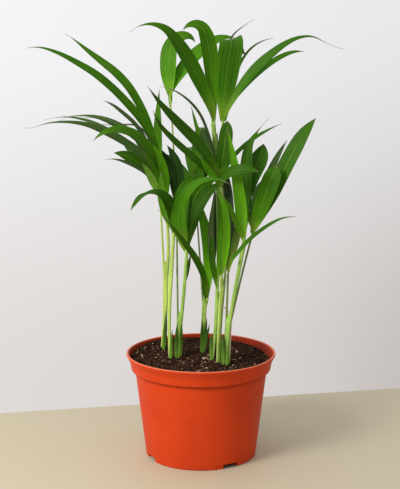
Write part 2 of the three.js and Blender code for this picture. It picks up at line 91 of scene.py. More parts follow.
def grain(tree, vector, scale, detail=2.0, roughness=0.5):
    feeds = {"Vector": vector, "Scale": scale, "Detail": detail, "Roughness": roughness}
    return put(tree, "ShaderNodeTexNoise", feeds).outputs["Fac"]


# Grain drawn out along an axis, by a scale for each
def drawnGrain(tree, vector, scales):
    mapped = put(tree, "ShaderNodeMapping", {"Vector": vector, "Scale": scales}).outputs[0]
    return grain(tree, mapped, 1.0)


def newMaterial(name):
    material = bpy.data.materials.new(name)
    material.use_nodes = True
    tree = material.node_tree
    tree.nodes.clear()
    return material, tree, put(tree, "ShaderNodeTexCoord").outputs["Object"]


# The relief is a depth in metres for a height of 1. Light passes by the share and colour given.
def finishMaterial(tree, colour, roughness, specular, height, relief, through=None, share=0.0):
    bump = put(tree, "ShaderNodeBump", {"Strength": 1.0, "Distance": relief, "Height": height})
    feeds = {"Base Color": colour, "Roughness": roughness, "Specular IOR Level": specular}
    feeds["Normal"] = bump.outputs[0]
    surface = put(tree, "ShaderNodeBsdfPrincipled", feeds).outputs[0]
    if through is not None:
        film = put(tree, "ShaderNodeBsdfTranslucent", {"Color": through}).outputs[0]
        surface = put(tree, "ShaderNodeMixShader", {0: share, 1: surface, 2: film}).outputs[0]
    put(tree, "ShaderNodeOutputMaterial", {"Surface": surface})


# A Geometry Nodes tree with an input for each size in the dictionary
def newGeometryTree(name, sizes):
    tree = bpy.data.node_groups.new(name, "GeometryNodeTree")
    face = tree.interface
    face.new_socket(name="Mesh", in_out="INPUT", socket_type="NodeSocketGeometry")
    for key, value in sizes.items():
        kind = "NodeSocketInt" if isinstance(value, int) else "NodeSocketFloat"
        face.new_socket(name=key, in_out="INPUT", socket_type=kind).default_value = value
    face.new_socket(name="Mesh", in_out="OUTPUT", socket_type="NodeSocketGeometry")
    return tree, put(tree, "NodeGroupInput").outputs


def named(tree, key):
    kind = "GeometryNodeInputNamedAttribute"
    return put(tree, kind, {"Name": key}, data_type="FLOAT").outputs[0]


def compared(tree, value, other, operation):
    feeds = {0: value, 1: other}
    return put(tree, "FunctionNodeCompare", feeds, data_type="FLOAT", operation=operation)


def setMaterial(tree, geometry, material, chosen=None):
    feeds = {"Geometry": geometry, "Material": material}
    if chosen is not None:
        feeds["Selection"] = chosen.outputs[0]
    return put(tree, "GeometryNodeSetMaterial", feeds).outputs[0]


def newObject(name, mesh):
    piece = bpy.data.objects.new(name, mesh)
    bpy.context.scene.collection.objects.link(piece)
    return piece


def meshOf(name, points, faces):
    mesh = bpy.data.meshes.new(name)
    mesh.from_pydata([tuple(point) for point in np.asarray(points) * mm], [], faces)
    mesh.update()
    return mesh


# The evaluated object becomes a plain mesh and its modifiers are dropped
def bake(piece):
    graph = bpy.context.evaluated_depsgraph_get()
    mesh = bpy.data.meshes.new_from_object(piece.evaluated_get(graph))
    piece.modifiers.clear()
    piece.data = mesh


def runTree(piece, tree, sizes):
    modifier = piece.modifiers.new(tree.name, "NODES")
    modifier.node_group = tree
    for item in tree.interface.items_tree:
        if item.in_out == "INPUT" and item.name in sizes:
            modifier[item.identifier] = sizes[item.name]
    bake(piece)


def smooth(piece, sharpAngle):
    piece.data.polygons.foreach_set("use_smooth", np.ones(len(piece.data.polygons), bool))
    piece.data.set_sharp_from_angle(angle=math.radians(sharpAngle))


def keep(piece, slot, *nodes):
    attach(piece, "root")
    if nodes:
        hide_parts(*nodes)


def turnTo(thing, direction):
    thing.rotation_mode = "QUATERNION"
    thing.rotation_quaternion = direction.to_track_quat("-Z", "Y")


view = {"lens": 87.8, "distance": 1200, "elevation": 10.13, "target": (-1, 0, 218.2)}


def makeCamera():
    tilt = math.radians(view["elevation"])
    data = bpy.data.cameras.new("camera")
    data.lens = view["lens"]
    data.clip_start = 0.05
    camera = newObject("camera", data)
    back = Vector((0, -math.cos(tilt), math.sin(tilt)))
    camera.location = Vector(view["target"]) * mm + back * view["distance"] * mm
    turnTo(camera, -back)
    bpy.context.scene.camera = camera


keyLamp = {
    "at": (-0.77, -0.74, 0.80),
    "aim": (0, 0, 0.2),
    "size": 0.5,
    "power": 13.0,
    "colour": (1.0, 0.97, 0.92),
}


def makeLamp():
    data = bpy.data.lights.new("key", "AREA")
    data.shape = "DISK"
    data.size = keyLamp["size"]
    data.energy = keyLamp["power"]
    data.color = keyLamp["colour"]
    lamp = newObject("key", data)
    lamp.location = keyLamp["at"]
    turnTo(lamp, Vector(keyLamp["aim"]) - Vector(keyLamp["at"]))


# The studio is dimmer low down, and more so on the right, with its light falling off to the right
studio = {
    "low": (0.70, 0.665, 0.65),
    "lowRight": (0.565, 0.515, 0.49),
    "high": (0.868, 0.868, 0.884),
    "heights": (-0.30, 0.04),
    "dusk": (0.03, 0.24),
    "sideFall": 0.38,
}


def makeStudio():
    world = bpy.data.worlds.new("studio")
    world.use_nodes = True
    bpy.context.scene.world = world
    tree = world.node_tree
    tree.nodes.clear()
    sky = put(tree, "ShaderNodeTexCoord").outputs["Generated"]
    x, _, z = put(tree, "ShaderNodeSeparateXYZ", {0: sky}).outputs
    fall = studio["sideFall"]
    side = ramp(tree, x, -1.0, 1.0, 1 + fall, 1 - fall, False)
    low = blendColour(tree, ramp(tree, x, *studio["dusk"]), studio["low"], studio["lowRight"])
    glow = blendColour(tree, ramp(tree, z, *studio["heights"]), low, studio["high"])
    background = put(tree, "ShaderNodeBackground", {"Color": glow, "Strength": side})
    put(tree, "ShaderNodeOutputWorld", {"Surface": background.outputs[0]})


floorPlan = {
    "farLeft": (-229, 126),
    "farRight": (243, 223),
    "reach": 2200,
    "near": -2600,
    "colour": (0.475, 0.415, 0.290),
    "fleck": (0.58, 0.54, 0.41),
    "cloudScale": 9.0,
    "cloudShare": 0.10,
    "speckScale": 420.0,
    "speckShare": 0.05,
    "roughness": 0.6,
    "specular": 0.25,
    "relief": 0.0001,
}


def makeFloor():
    left, right = (Vector(floorPlan[key]) for key in ("farLeft", "farRight"))
    slant = (right - left).normalized() * floorPlan["reach"]
    left, right, near = left - slant, right + slant, floorPlan["near"]
    points = [(left.x, near, 0), (right.x, near, 0), (*right, 0), (*left, 0)]
    floor = newObject("floor", meshOf("floor", points, [(0, 1, 2, 3)]))
    material, tree, place = newMaterial("paleTable")
    cloudy = grain(tree, place, floorPlan["cloudScale"], 3.0)
    speck = grain(tree, place, floorPlan["speckScale"])
    share = product(tree, speck, floorPlan["speckShare"])
    share = calc(tree, "MULTIPLY_ADD", cloudy, floorPlan["cloudShare"], share)
    tone = blendColour(tree, share, floorPlan["colour"], floorPlan["fleck"])
    looks = (floorPlan[key] for key in ("roughness", "specular"))
    finishMaterial(tree, tone, *looks, speck, floorPlan["relief"])
    floor.data.materials.append(material)


makeCamera()
makeLamp()
makeStudio()
makeFloor()
print("camera, light and floor ready")


# Widths, thicknesses and steps in mm. The width grows from a share at the root to the belly, and
# falls off to the tip by the taper and the tail. Leaves fold along the middle, most at the root.
leafShape = {
    "rootShare": 0.24,
    "belly": 0.42,
    "taper": 1.4,
    "tail": 1,
    "leastWidth": 0.35,
    "fold": 0.1,
    "rootFold": 0.18,
    "rootFoldLength": 0.1,
    "foldRound": 0.006,
    "thickness": 0.55,
    "thinAt": 0.12,
    "thinGrowth": 0.05,
    "edge": 0.3,
    "dryWidths": (0.8, 2.4),
    "dryFrom": 0.4,
    "dryShare": 0.8,
    "columns": 21,
    "rowStep": 2.6,
    "leastRows": 14,
}


# A leaf's lean from upright towards +X and its turn away towards +Y, as a direction
def heading(lean, turn):
    lean, turn = np.radians(lean), np.radians(turn)
    return np.stack([np.sin(lean) * np.cos(turn), np.sin(turn), np.cos(lean) * np.cos(turn)], -1)


def spread(values, share):
    return np.interp(share, np.linspace(0, 1, len(values)), values)


def unit(vectors):
    return vectors / np.linalg.norm(vectors, axis=-1, keepdims=True)


def widthShare(share, belly, taper, tail):
    least = leafShape["rootShare"]
    rising = least + (1 - least) * np.sin(np.pi / 2 * np.clip(share / belly, 0, 1))
    falling = np.cos(np.pi / 2 * np.clip((share - belly) / (1 - belly), 0, 1) ** taper)
    return np.where(share < belly, rising, np.clip(falling, 0, 1) ** tail)


def newShell():
    return {"points": [], "faces": [], "map": [], "values": {}, "count": 0}


# Rings of points become a closed skin, with flat ends or a last ring that closes in one point.
# The map and the values are numbers for each point, or what numpy spreads over rows and sides.
def addRings(shell, rings, u, v, values, pointed=False):
    rows, sides = rings.shape[:2]
    start, total = shell["count"], rows * sides
    ones = np.ones((rows, sides))
    maps = np.stack([ones * u, ones * v], -1)
    values = {key: ones * value for key, value in values.items()}
    index = start + np.arange(total).reshape(rows, sides)
    after = np.roll(index, -1, axis=1)
    shell["points"].append(rings.reshape(-1, 3))
    for low, high, lowNext, highNext in zip(index[:-1], index[1:], after[:-1], after[1:]):
        shell["faces"] += np.stack([low, lowNext, highNext, high], -1).tolist()
    opposite = [(k, k + 1, sides - 2 - k, sides - 1 - k) for k in range(sides // 2 - 1)]
    for near, beside, farBeside, far in opposite:
        shell["faces"].append([index[0, k] for k in (near, far, farBeside, beside)])
    if pointed:
        shell["points"].append(rings[-1].mean(0, keepdims=True))
        shell["faces"] += [[a, b, start + total] for a, b in zip(index[-1], after[-1])]
        maps = np.concatenate([maps.reshape(-1, 2), maps[-1].mean(0, keepdims=True)])
        values = {key: np.append(value.ravel(), value[-1].mean()) for key, value in values.items()}
        total += 1
    else:
        shell["faces"] += [[index[-1, k] for k in corners] for corners in opposite]
    shell["map"].append(maps.reshape(-1, 2))
    for key, value in values.items():
        shell["values"].setdefault(key, []).append(value.ravel())
    shell["count"] += total


def shellMesh(name, shell):
    faces = [[int(corner) for corner in face] for face in shell["faces"]]
    mesh = meshOf(name, np.concatenate(shell["points"]), faces)
    layer = mesh.uv_layers.new(name="leafMap")
    corners = np.zeros(len(mesh.loops), np.int32)
    mesh.loops.foreach_get("vertex_index", corners)
    layer.data.foreach_set("uv", np.concatenate(shell["map"])[corners].astype(np.float32).ravel())
    for key, parts in shell["values"].items():
        attribute = mesh.attributes.new(key, "FLOAT", "POINT")
        attribute.data.foreach_set("value", np.concatenate(parts).astype(np.float32))
    return mesh


# The path of a leaf: points, the direction across it and the way its face is turned
def leafPath(root, leaf, rows):
    share = np.linspace(0, 1, rows)
    lean, turn = spread(leaf["lean"], share), spread(leaf.get("away", [0]), share)
    middle = (share[1:] + share[:-1]) / 2
    steps = heading(spread(leaf["lean"], middle), spread(leaf.get("away", [0]), middle))
    steps *= leaf["length"] / (rows - 1)
    points = np.concatenate([[root], root + np.cumsum(steps, 0)])
    forward = heading(lean, turn)
    flat = np.radians(lean)
    across = np.stack([np.cos(flat), np.zeros(rows), -np.sin(flat)], -1)
    roll = np.radians(spread(leaf.get("roll", [0]), share))[:, None]
    sideways = across * np.cos(roll) + np.cross(across, forward) * np.sin(roll)
    return share, points, sideways, np.cross(sideways, forward)


def addLeaf(shell, root, leaf, toneIndex, seed):
    rows = max(leafShape["leastRows"], round(leaf["length"] / leafShape["rowStep"]))
    share, points, sideways, face = leafPath(root, leaf, rows)
    columns = leafShape["columns"]
    across = np.linspace(-1, 1, columns)
    outline = (leaf.get(key, leafShape[key]) for key in ("belly", "taper", "tail"))
    width = np.maximum(leaf["width"] * widthShare(share, *outline), leafShape["leastWidth"])
    fold = leaf.get("fold", leafShape["fold"])
    fold = fold + leafShape["rootFold"] * np.exp(-share / leafShape["rootFoldLength"])
    bend = np.sqrt(across**2 + leafShape["foldRound"]) - math.sqrt(leafShape["foldRound"])
    rise = (fold * width)[:, None] * bend[None]
    reach = (width / 2)[:, None] * across[None]
    thin = np.minimum(leafShape["thickness"], leafShape["thinAt"] + leafShape["thinGrowth"] * width)
    edge = leafShape["edge"] + (1 - leafShape["edge"]) * (1 - across**4)[None]
    half = thin[:, None] * edge / 2
    skins = []
    for sign in (1, -1):
        skin = points[:, None] + sideways[:, None] * reach[..., None]
        skins.append(skin + face[:, None] * (rise + sign * half)[..., None])
    rings = np.concatenate([skins[0], skins[1][:, ::-1]], 1)[:, ::-1]
    acrossRing = np.concatenate([across, across[::-1]])[::-1]
    narrow, wide = leafShape["dryWidths"]
    dry = leafShape["dryShare"] * np.clip((wide - width) / (wide - narrow), 0, 1)
    values = {
        "across": acrossRing,
        "along": share[:, None],
        "under": np.repeat((1.0, 0.0), columns),
        "dry": (dry * (share > leafShape["dryFrom"]))[:, None],
        "breadth": width[:, None],
        "spray": seed,
        "tone": toneIndex,
        "faceX": face[:, 0, None],
        "faceY": face[:, 1, None],
        "faceZ": face[:, 2, None],
    }
    addRings(shell, rings, (acrossRing + 1) / 2, share[:, None], values, pointed=True)


# The sides of a round limb, and which way its groove faces and how wide it is, in radians
limbRound = {"sides": 20, "grooveSide": (0.0, -1.0, 0.0), "grooveWidth": 0.5}


# A round limb along points, with a groove where it is a stalk or a rib
def addLimb(shell, points, radii, toneIndex, seed, groove=0.0):
    points = np.asarray(points, float)
    tangent = unit(np.gradient(points, axis=0))
    grooveSide = np.array(limbRound["grooveSide"])
    front = unit(grooveSide[None] - tangent * (tangent @ grooveSide)[:, None])
    right = np.cross(tangent, front)
    sides = limbRound["sides"]
    turn = 2 * np.pi * np.arange(sides) / sides
    fromFront = (turn + np.pi) % (2 * np.pi) - np.pi
    dent = 1 - groove * np.exp(-((fromFront / limbRound["grooveWidth"]) ** 2))
    radius = np.asarray(radii)[:, None] * dent[None]
    rings = points[:, None] + front[:, None] * (radius * np.cos(turn))[..., None]
    rings = rings + right[:, None] * (radius * np.sin(turn))[..., None]
    share = np.linspace(0, 1, len(points))[:, None]
    values = {"across": 0.5, "along": share, "under": 0, "dry": 0, "breadth": 0}
    values.update({"spray": seed, "tone": toneIndex, "faceX": 0, "faceY": 0, "faceZ": 0})
    addRings(shell, rings, turn / (2 * np.pi), share, values)


def bowed(foot, top, bow, count):
    middle = (foot + top) / 2 + np.array([2 * bow[0], 2 * bow[1], 0])
    share = np.linspace(0, 1, count)[:, None]
    return foot * (1 - share) ** 2 + middle * 2 * share * (1 - share) + top * share**2


# The two darkest tones are painted shade: darker greens for leaves that lie in shadow behind others
leafTones = {
    "shade": {"colour": (0.036, 0.066, 0.020), "share": 0.10},
    "pale": {"colour": (0.130, 0.200, 0.070), "share": 0.20},
    "deep": {"colour": (0.036, 0.124, 0.003), "share": 0.20},
    "mid": {"colour": (0.050, 0.170, 0.003), "share": 0.24},
    "fresh": {"colour": (0.072, 0.215, 0.006), "share": 0.26},
    "bright": {"colour": (0.130, 0.390, 0.010), "share": 0.30},
    "light": {"colour": (0.100, 0.290, 0.010), "share": 0.42},
    "dusky": {"colour": (0.058, 0.112, 0.026), "share": 0.18},
    "dark": {"colour": (0.016, 0.050, 0.005), "share": 0.10},
    "olive": {"colour": (0.080, 0.135, 0.015), "share": 0.20},
    "sap": {"colour": (0.22, 0.42, 0.05), "share": 0.35},
}
toneNames = list(leafTones)

# Scales are across and along a leaf, levels a gain and a base, edges where a band begins and ends
leafFinish = {
    "streaks": (7.0, 2.0),
    "streakLevel": (0.75, 0.64),
    "veins": (34.0, 1.6),
    "veinLevel": (0.36, 0.82),
    "patchScale": 55.0,
    "patchLevel": (0.5, 0.75),
    "sprayShift": 37.0,
    "sprayLevel": (0.24, 0.88),
    "fadeReach": 0.65,
    "fade": (1.35, 0.88),
    "rib": (0.17, 0.36, 0.03),
    "ribEdges": (0.012, 0.06),
    "ribShare": 0.26,
    # The margins are darkened, a painted shade for the blade's sides curving away from the light
    "marginShadeEdges": (0.44, 0.5),
    "marginShadeShare": 0.35,
    "marginShadeDark": 0.55,
    "under": (0.10, 0.18, 0.05),
    "underShare": 0.55,
    "root": (0.25, 0.42, 0.035),
    "rootReach": 0.26,
    "rootShare": 0.78,
    "tip": (0.13, 0.115, 0.06),
    "tipFrom": 0.93,
    "tipShare": 0.4,
    "dry": (0.21, 0.175, 0.12),
    "through": (1.5, 1.7, 0.7),
    "roughness": (0.40, 0.56),
    "specular": 0.09,
    "relief": 0.00012,
}


def makeLeafMaterial(name, tone):
    finish = leafFinish
    material, tree, body = newMaterial(name)
    leafMap = put(tree, "ShaderNodeUVMap", uv_map="leafMap").outputs[0]
    across, along, _ = put(tree, "ShaderNodeSeparateXYZ", {0: leafMap}).outputs
    spray, under, dry = (
        put(tree, "ShaderNodeAttribute", attribute_name=key).outputs["Fac"]
        for key in ("spray", "under", "dry")
    )
    shift = product(tree, spray, finish["sprayShift"])

    def drawn(scales, detail):
        x = calc(tree, "MULTIPLY_ADD", across, scales[0], shift)
        y = calc(tree, "MULTIPLY_ADD", along, scales[1], shift)
        return grain(tree, put(tree, "ShaderNodeCombineXYZ", {0: x, 1: y}).outputs[0], 1.0, detail)

    streak = drawn(finish["streaks"], 2.0)
    vein = drawn(finish["veins"], 1.0)
    patch = grain(tree, body, finish["patchScale"])
    fields = {"streak": streak, "vein": vein, "patch": patch, "spray": spray}
    levels = [
        calc(tree, "MULTIPLY_ADD", field, *finish[key + "Level"]) for key, field in fields.items()
    ]
    fade = ramp(tree, along, 0.0, finish["fadeReach"], *finish["fade"])
    colour = shaded(tree, tone["colour"], product(tree, *levels, fade))
    middle = calc(tree, "ABSOLUTE", calc(tree, "SUBTRACT", across, 0.5))
    # Painted shade: the colour darkens towards the margins, as if the blade curved away from the light
    marginShade = tuple(finish["marginShadeDark"] * part for part in tone["colour"])
    layers = (
        (ramp(tree, middle, *finish["ribEdges"], finish["ribShare"], 0.0), finish["rib"]),
        (ramp(tree, middle, *finish["marginShadeEdges"], 0.0, finish["marginShadeShare"]), marginShade),
        (product(tree, under, finish["underShare"]), finish["under"]),
        (ramp(tree, along, 0.0, finish["rootReach"], finish["rootShare"], 0.0), finish["root"]),
        (ramp(tree, along, finish["tipFrom"], 1.0, 0.0, finish["tipShare"]), finish["tip"]),
        (dry, finish["dry"]),
    )
    for share, layer in layers:
        colour = blendColour(tree, share, colour, layer)
    through = blendColour(tree, 1.0, colour, finish["through"], "MULTIPLY")
    shine = ramp(tree, streak, 0.3, 0.7, *finish["roughness"], False)
    specular, relief = finish["specular"], finish["relief"]
    finishMaterial(tree, colour, shine, specular, vein, relief, through, tone["share"])
    return material


leafMaterials = [makeLeafMaterial("leaf" + key.capitalize(), leafTones[key]) for key in toneNames]

limbTones = {
    "pale": {"low": (0.30, 0.45, 0.07), "high": (0.54, 0.67, 0.17), "stain": 0.12, "blanched": 0.35},
    "green": {"low": (0.18, 0.36, 0.045), "high": (0.38, 0.57, 0.13), "stain": 0.15, "blanched": 0.35},
    "olive": {"low": (0.10, 0.17, 0.03), "high": (0.24, 0.33, 0.08), "stain": 0.3},
    "sheath": {
        "low": (0.030, 0.085, 0.008), "high": (0.085, 0.19, 0.020), "stain": 0.3, "blanched": 0.55,
        "foot": (0.24, 0.44, 0.05),
    },
    "dry": {"low": (0.24, 0.15, 0.10), "high": (0.46, 0.32, 0.25), "stain": 0.2},
}
limbNames = list(limbTones)

# A limb is paler down at the mix, which fades out between two heights in metres
limbFinish = {
    "streaks": (900.0, 900.0, 22.0),
    "fibres": (2600.0, 2600.0, 60.0),
    "fibreShare": 0.35,
    "contrast": (0.3, 0.7),
    "foot": (0.58, 0.62, 0.30),
    "footHeights": (0.098, 0.122),
    "spot": (0.12, 0.075, 0.03),
    "spotScale": 260.0,
    "spotEdges": (0.60, 0.74),
    "patchScale": 40.0,
    "patchLevel": (0.5, 0.76),
    "through": (1.3, 1.4, 0.8),
    "throughShare": 0.12,
    "roughness": 0.42,
    "specular": 0.2,
    "relief": 0.00015,
}


def makeLimbMaterial(name, tone):
    finish = limbFinish
    material, tree, body = newMaterial(name)
    streak = drawnGrain(tree, body, finish["streaks"])
    fibre = drawnGrain(tree, body, finish["fibres"])
    share = product(tree, streak, 1 - finish["fibreShare"])
    share = calc(tree, "MULTIPLY_ADD", fibre, finish["fibreShare"], share)
    colour = blendColour(tree, ramp(tree, share, *finish["contrast"]), tone["low"], tone["high"])
    height = put(tree, "ShaderNodeSeparateXYZ", {0: body}).outputs[2]
    blanched = ramp(tree, height, *finish["footHeights"], tone.get("blanched", 0.0), 0.0)
    colour = blendColour(tree, blanched, colour, tone.get("foot", finish["foot"]))
    spots = grain(tree, body, finish["spotScale"], 3.0, 0.6)
    spots = ramp(tree, spots, *finish["spotEdges"], 0.0, tone["stain"])
    colour = blendColour(tree, spots, colour, finish["spot"])
    patch = grain(tree, body, finish["patchScale"], 1.0)
    colour = shaded(tree, colour, calc(tree, "MULTIPLY_ADD", patch, *finish["patchLevel"]))
    through = blendColour(tree, 1.0, colour, finish["through"], "MULTIPLY")
    shine, specular, relief = (finish[key] for key in ("roughness", "specular", "relief"))
    finishMaterial(tree, colour, shine, specular, fibre, relief, through, finish["throughShare"])
    return material


limbMaterials = [makeLimbMaterial("limb" + key.capitalize(), limbTones[key]) for key in limbNames]
print("plant materials ready")


# Leaf relief by Geometry Nodes: pleats, a midrib and a light ripple at the margins. Depths are
# shares of the leaf's breadth, and the midrib's height is in mm on a leaf of full breadth.
leafRelief = {
    "Pleats": 3.0,
    "Pleat depth": 0.014,
    "Pleat fade from": 0.02,
    "Pleat fade to": 0.2,
    "Least pleat": 0.2,
    "Midrib height": 0.28,
    "Midrib width": 0.09,
    "No midrib under": 1.0,
    "Full midrib over": 9.0,
    "Ripple": 0.035,
    "Ripple scale": 48.0,
    "Ripple power": 1.5,
    "Seed": 4.0,
}


def makeReliefTree():
    tree, given = newGeometryTree("leafRelief", leafRelief)
    across, along, breadth = (named(tree, key) for key in ("across", "along", "breadth"))
    face = {place: named(tree, key) for place, key in enumerate(("faceX", "faceY", "faceZ"))}
    normal = put(tree, "ShaderNodeCombineXYZ", face).outputs[0]
    wave = calc(tree, "COSINE", product(tree, across, given["Pleats"], 2 * math.pi))
    fadeEnds = (given["Pleat fade from"], given["Pleat fade to"])
    fade = ramp(tree, along, *fadeEnds, given["Least pleat"], 1.0)
    pleat = product(tree, wave, product(tree, given["Pleat depth"], breadth), fade)
    ribPlace = calc(tree, "DIVIDE", across, given["Midrib width"])
    ribShape = calc(tree, "EXPONENT", product(tree, ribPlace, ribPlace, -1.0))
    room = ramp(tree, breadth, given["No midrib under"], given["Full midrib over"])
    rib = product(tree, ribShape, given["Midrib height"], room)
    swell = {"W": given["Seed"], "Scale": given["Ripple scale"], "Detail": 0.0}
    swell["Vector"] = put(tree, "GeometryNodeInputPosition").outputs[0]
    swell = put(tree, "ShaderNodeTexNoise", swell, noise_dimensions="4D").outputs[0]
    edge = calc(tree, "POWER", calc(tree, "ABSOLUTE", across), given["Ripple power"])
    swing = product(tree, given["Ripple"], breadth)
    ripple = product(tree, calc(tree, "SUBTRACT", swell, 0.5), swing, edge, 2.0)  # -1 to 1
    height = calc(tree, "ADD", calc(tree, "ADD", pleat, rib), ripple)
    offset = {0: normal, "Scale": product(tree, height, mm)}
    offset = put(tree, "ShaderNodeVectorMath", offset, operation="SCALE").outputs[0]
    moved = {"Geometry": given["Mesh"], "Offset": offset}
    geometry = put(tree, "GeometryNodeSetPosition", moved).outputs[0]
    geometry = put(tree, "GeometryNodeRealizeInstances", {0: geometry}).outputs[0]
    tone = named(tree, "tone")
    for place, material in enumerate(leafMaterials + limbMaterials):
        chosen = compared(tree, tone, float(place), "EQUAL")
        chosen.inputs["Epsilon"].default_value = 0.1
        geometry = setMaterial(tree, geometry, material, chosen)
    put(tree, "NodeGroupOutput", {0: geometry})
    return tree


reliefTree = makeReliefTree()


def growPiece(name, shell, slot, *nodes):
    piece = newObject(name, shellMesh(name, shell))
    runTree(piece, reliefTree, leafRelief)
    for key in ("across", "along", "breadth", "tone", "faceX", "faceY", "faceZ"):
        piece.data.attributes.remove(piece.data.attributes[key])
    smooth(piece, 55)
    keep(piece, slot, *nodes)


# The roundings are for the corners of the pot's profile, from the middle of its underside up the
# outside and down the inside
pot = {
    "height": 107,
    "rimRadius": 76,
    "lip": 2,
    "lipStep": 0.6,
    "lipDraft": 0.3,
    "flareHeight": 9,
    "flareFootRadius": 72.4,
    "bandHeight": 16.5,
    "bandFootRadius": 71.1,
    "bodyTopRadius": 67.4,
    "footRadius": 56.4,
    "wall": 1.6,
    "floor": 2.2,
    "stepFall": 1,
    "stepRise": 0.6,
    "roundings": (0, 1.4, 0.35, 0.7, 2.5, 0.8, 0.3, 0.75, 0.7, 2.5, 0.5, 0.4, 0.8, 0),
    "segments": 192,
}


# A profile turned round the axis. Where it gives no height, the function does.
def lathe(name, profile, segments, heightAt=None):
    points, rows = [], []
    for radius, height in profile:
        start = len(points)
        if radius == 0:
            rows.append([start] * segments)
            points.append((0, 0, height))
            continue
        rows.append(range(start, start + segments))
        for turn in 2 * np.pi * np.arange(segments) / segments:
            x, y = radius * math.cos(turn), radius * math.sin(turn)
            points.append((x, y, heightAt(x, y, radius) if height is None else height))
    faces = []
    for low, high in zip(rows, rows[1:]):
        for k in range(segments):
            after = (k + 1) % segments
            faces.append(list(dict.fromkeys((low[k], low[after], high[after], high[k]))))
    return newObject(name, meshOf(name, points, faces))


# The corners of a profile become arcs of the given radii
def rounded(corners, radii, steps=5):
    done = []
    for place, (corner, radius) in enumerate(zip(corners, radii)):
        if radius == 0:
            done.append(corner)
            continue
        corner = np.array(corner, float)
        before = unit(np.array(corners[place - 1], float) - corner)
        after = unit(np.array(corners[place + 1], float) - corner)
        angle = math.acos(float(np.clip(before @ after, -1, 1)))
        reach = radius / math.tan(angle / 2)
        first, last = corner + before * reach, corner + after * reach
        centre = corner + unit(before + after) * radius / math.sin(angle / 2)
        for share in np.linspace(0, 1, steps):
            ray = unit((first - centre) * (1 - share) + (last - centre) * share)
            done.append(tuple(centre + ray * radius))
    return done


drain = {
    "angles": (-155, -58, 32, 122),
    "recessWidth": 34,
    "recessHeight": 5,
    "recessDepth": 0.8,
    "slant": 0.6,
    "holeWidth": 17,
    "holeHeight": 4.5,
    "reach": 8,
    "under": 1,
}


# A cutter at the pot's foot, round one of the drain angles
def wedge(inner, innerTop, low, high, middle, width, steps=14):
    outer = pot["footRadius"] + drain["reach"]
    turn = np.radians(middle) + np.linspace(-0.5, 0.5, steps) * width / pot["footRadius"]
    points, faces = [], []
    for angle in turn:
        c, s = math.cos(angle), math.sin(angle)
        for radius, height in ((inner, low), (outer, low), (outer, high), (innerTop, high)):
            points.append((radius * c, radius * s, height))
    for a in range(0, 4 * (steps - 1), 4):
        for i in range(4):
            j = (i + 1) % 4
            faces.append([a + i, a + 4 + i, a + 4 + j, a + j])
    faces += [[0, 1, 2, 3], [4 * steps - k for k in (1, 2, 3, 4)]]
    cutter = newObject("cutter", meshOf("cutter", points, faces))
    fresh = bmesh.new()
    fresh.from_mesh(cutter.data)
    bmesh.ops.recalc_face_normals(fresh, faces=fresh.faces)
    fresh.to_mesh(cutter.data)
    fresh.free()
    return cutter


# Heights in metres: the soil line inside, the painted shade under the band and the painted highlight on the
# lip; the inner wall is painted darker as shade
potFinish = {
    "colour": (0.57, 0.050, 0.009),
    "deep": (0.51, 0.043, 0.009),
    "cloudScale": 22.0,
    "flow": (12.0, 12.0, 900.0),
    "flowLevel": (0.12, 0.94),
    "shadowedInside": (0.21, 0.015, 0.001),
    "insideFrom": 0.094,
    "shadowedInsideShare": 0.85,
    "soilMark": (0.050, 0.014, 0.006),
    "soilHeights": (0.1005, 0.105),
    "soilShare": 0.95,
    "splashScale": 520.0,
    "splashEdges": (0.40, 0.65),
    "splashShare": 0.7,
    "bandShadowColour": (0.20, 0.014, 0.002),
    "bandShadowFrom": (0.006, 0.0005),
    "bandShadowShare": 0.45,
    "bandShadowOver": 0.0004,
    # the colour of the painted highlight along the lip
    "edge": (0.80, 0.22, 0.12),
    "lipHighlightHeights": (0.1060, 0.1068),
    "lipHighlightShare": 0.6,
    "dust": (0.42, 0.12, 0.06),
    "dustScale": 1400.0,
    "dustEdges": (0.62, 0.75),
    "dustShare": 0.18,
    "roughness": (0.40, 0.50),
    "specular": 0.07,
    "relief": 0.00004,
}


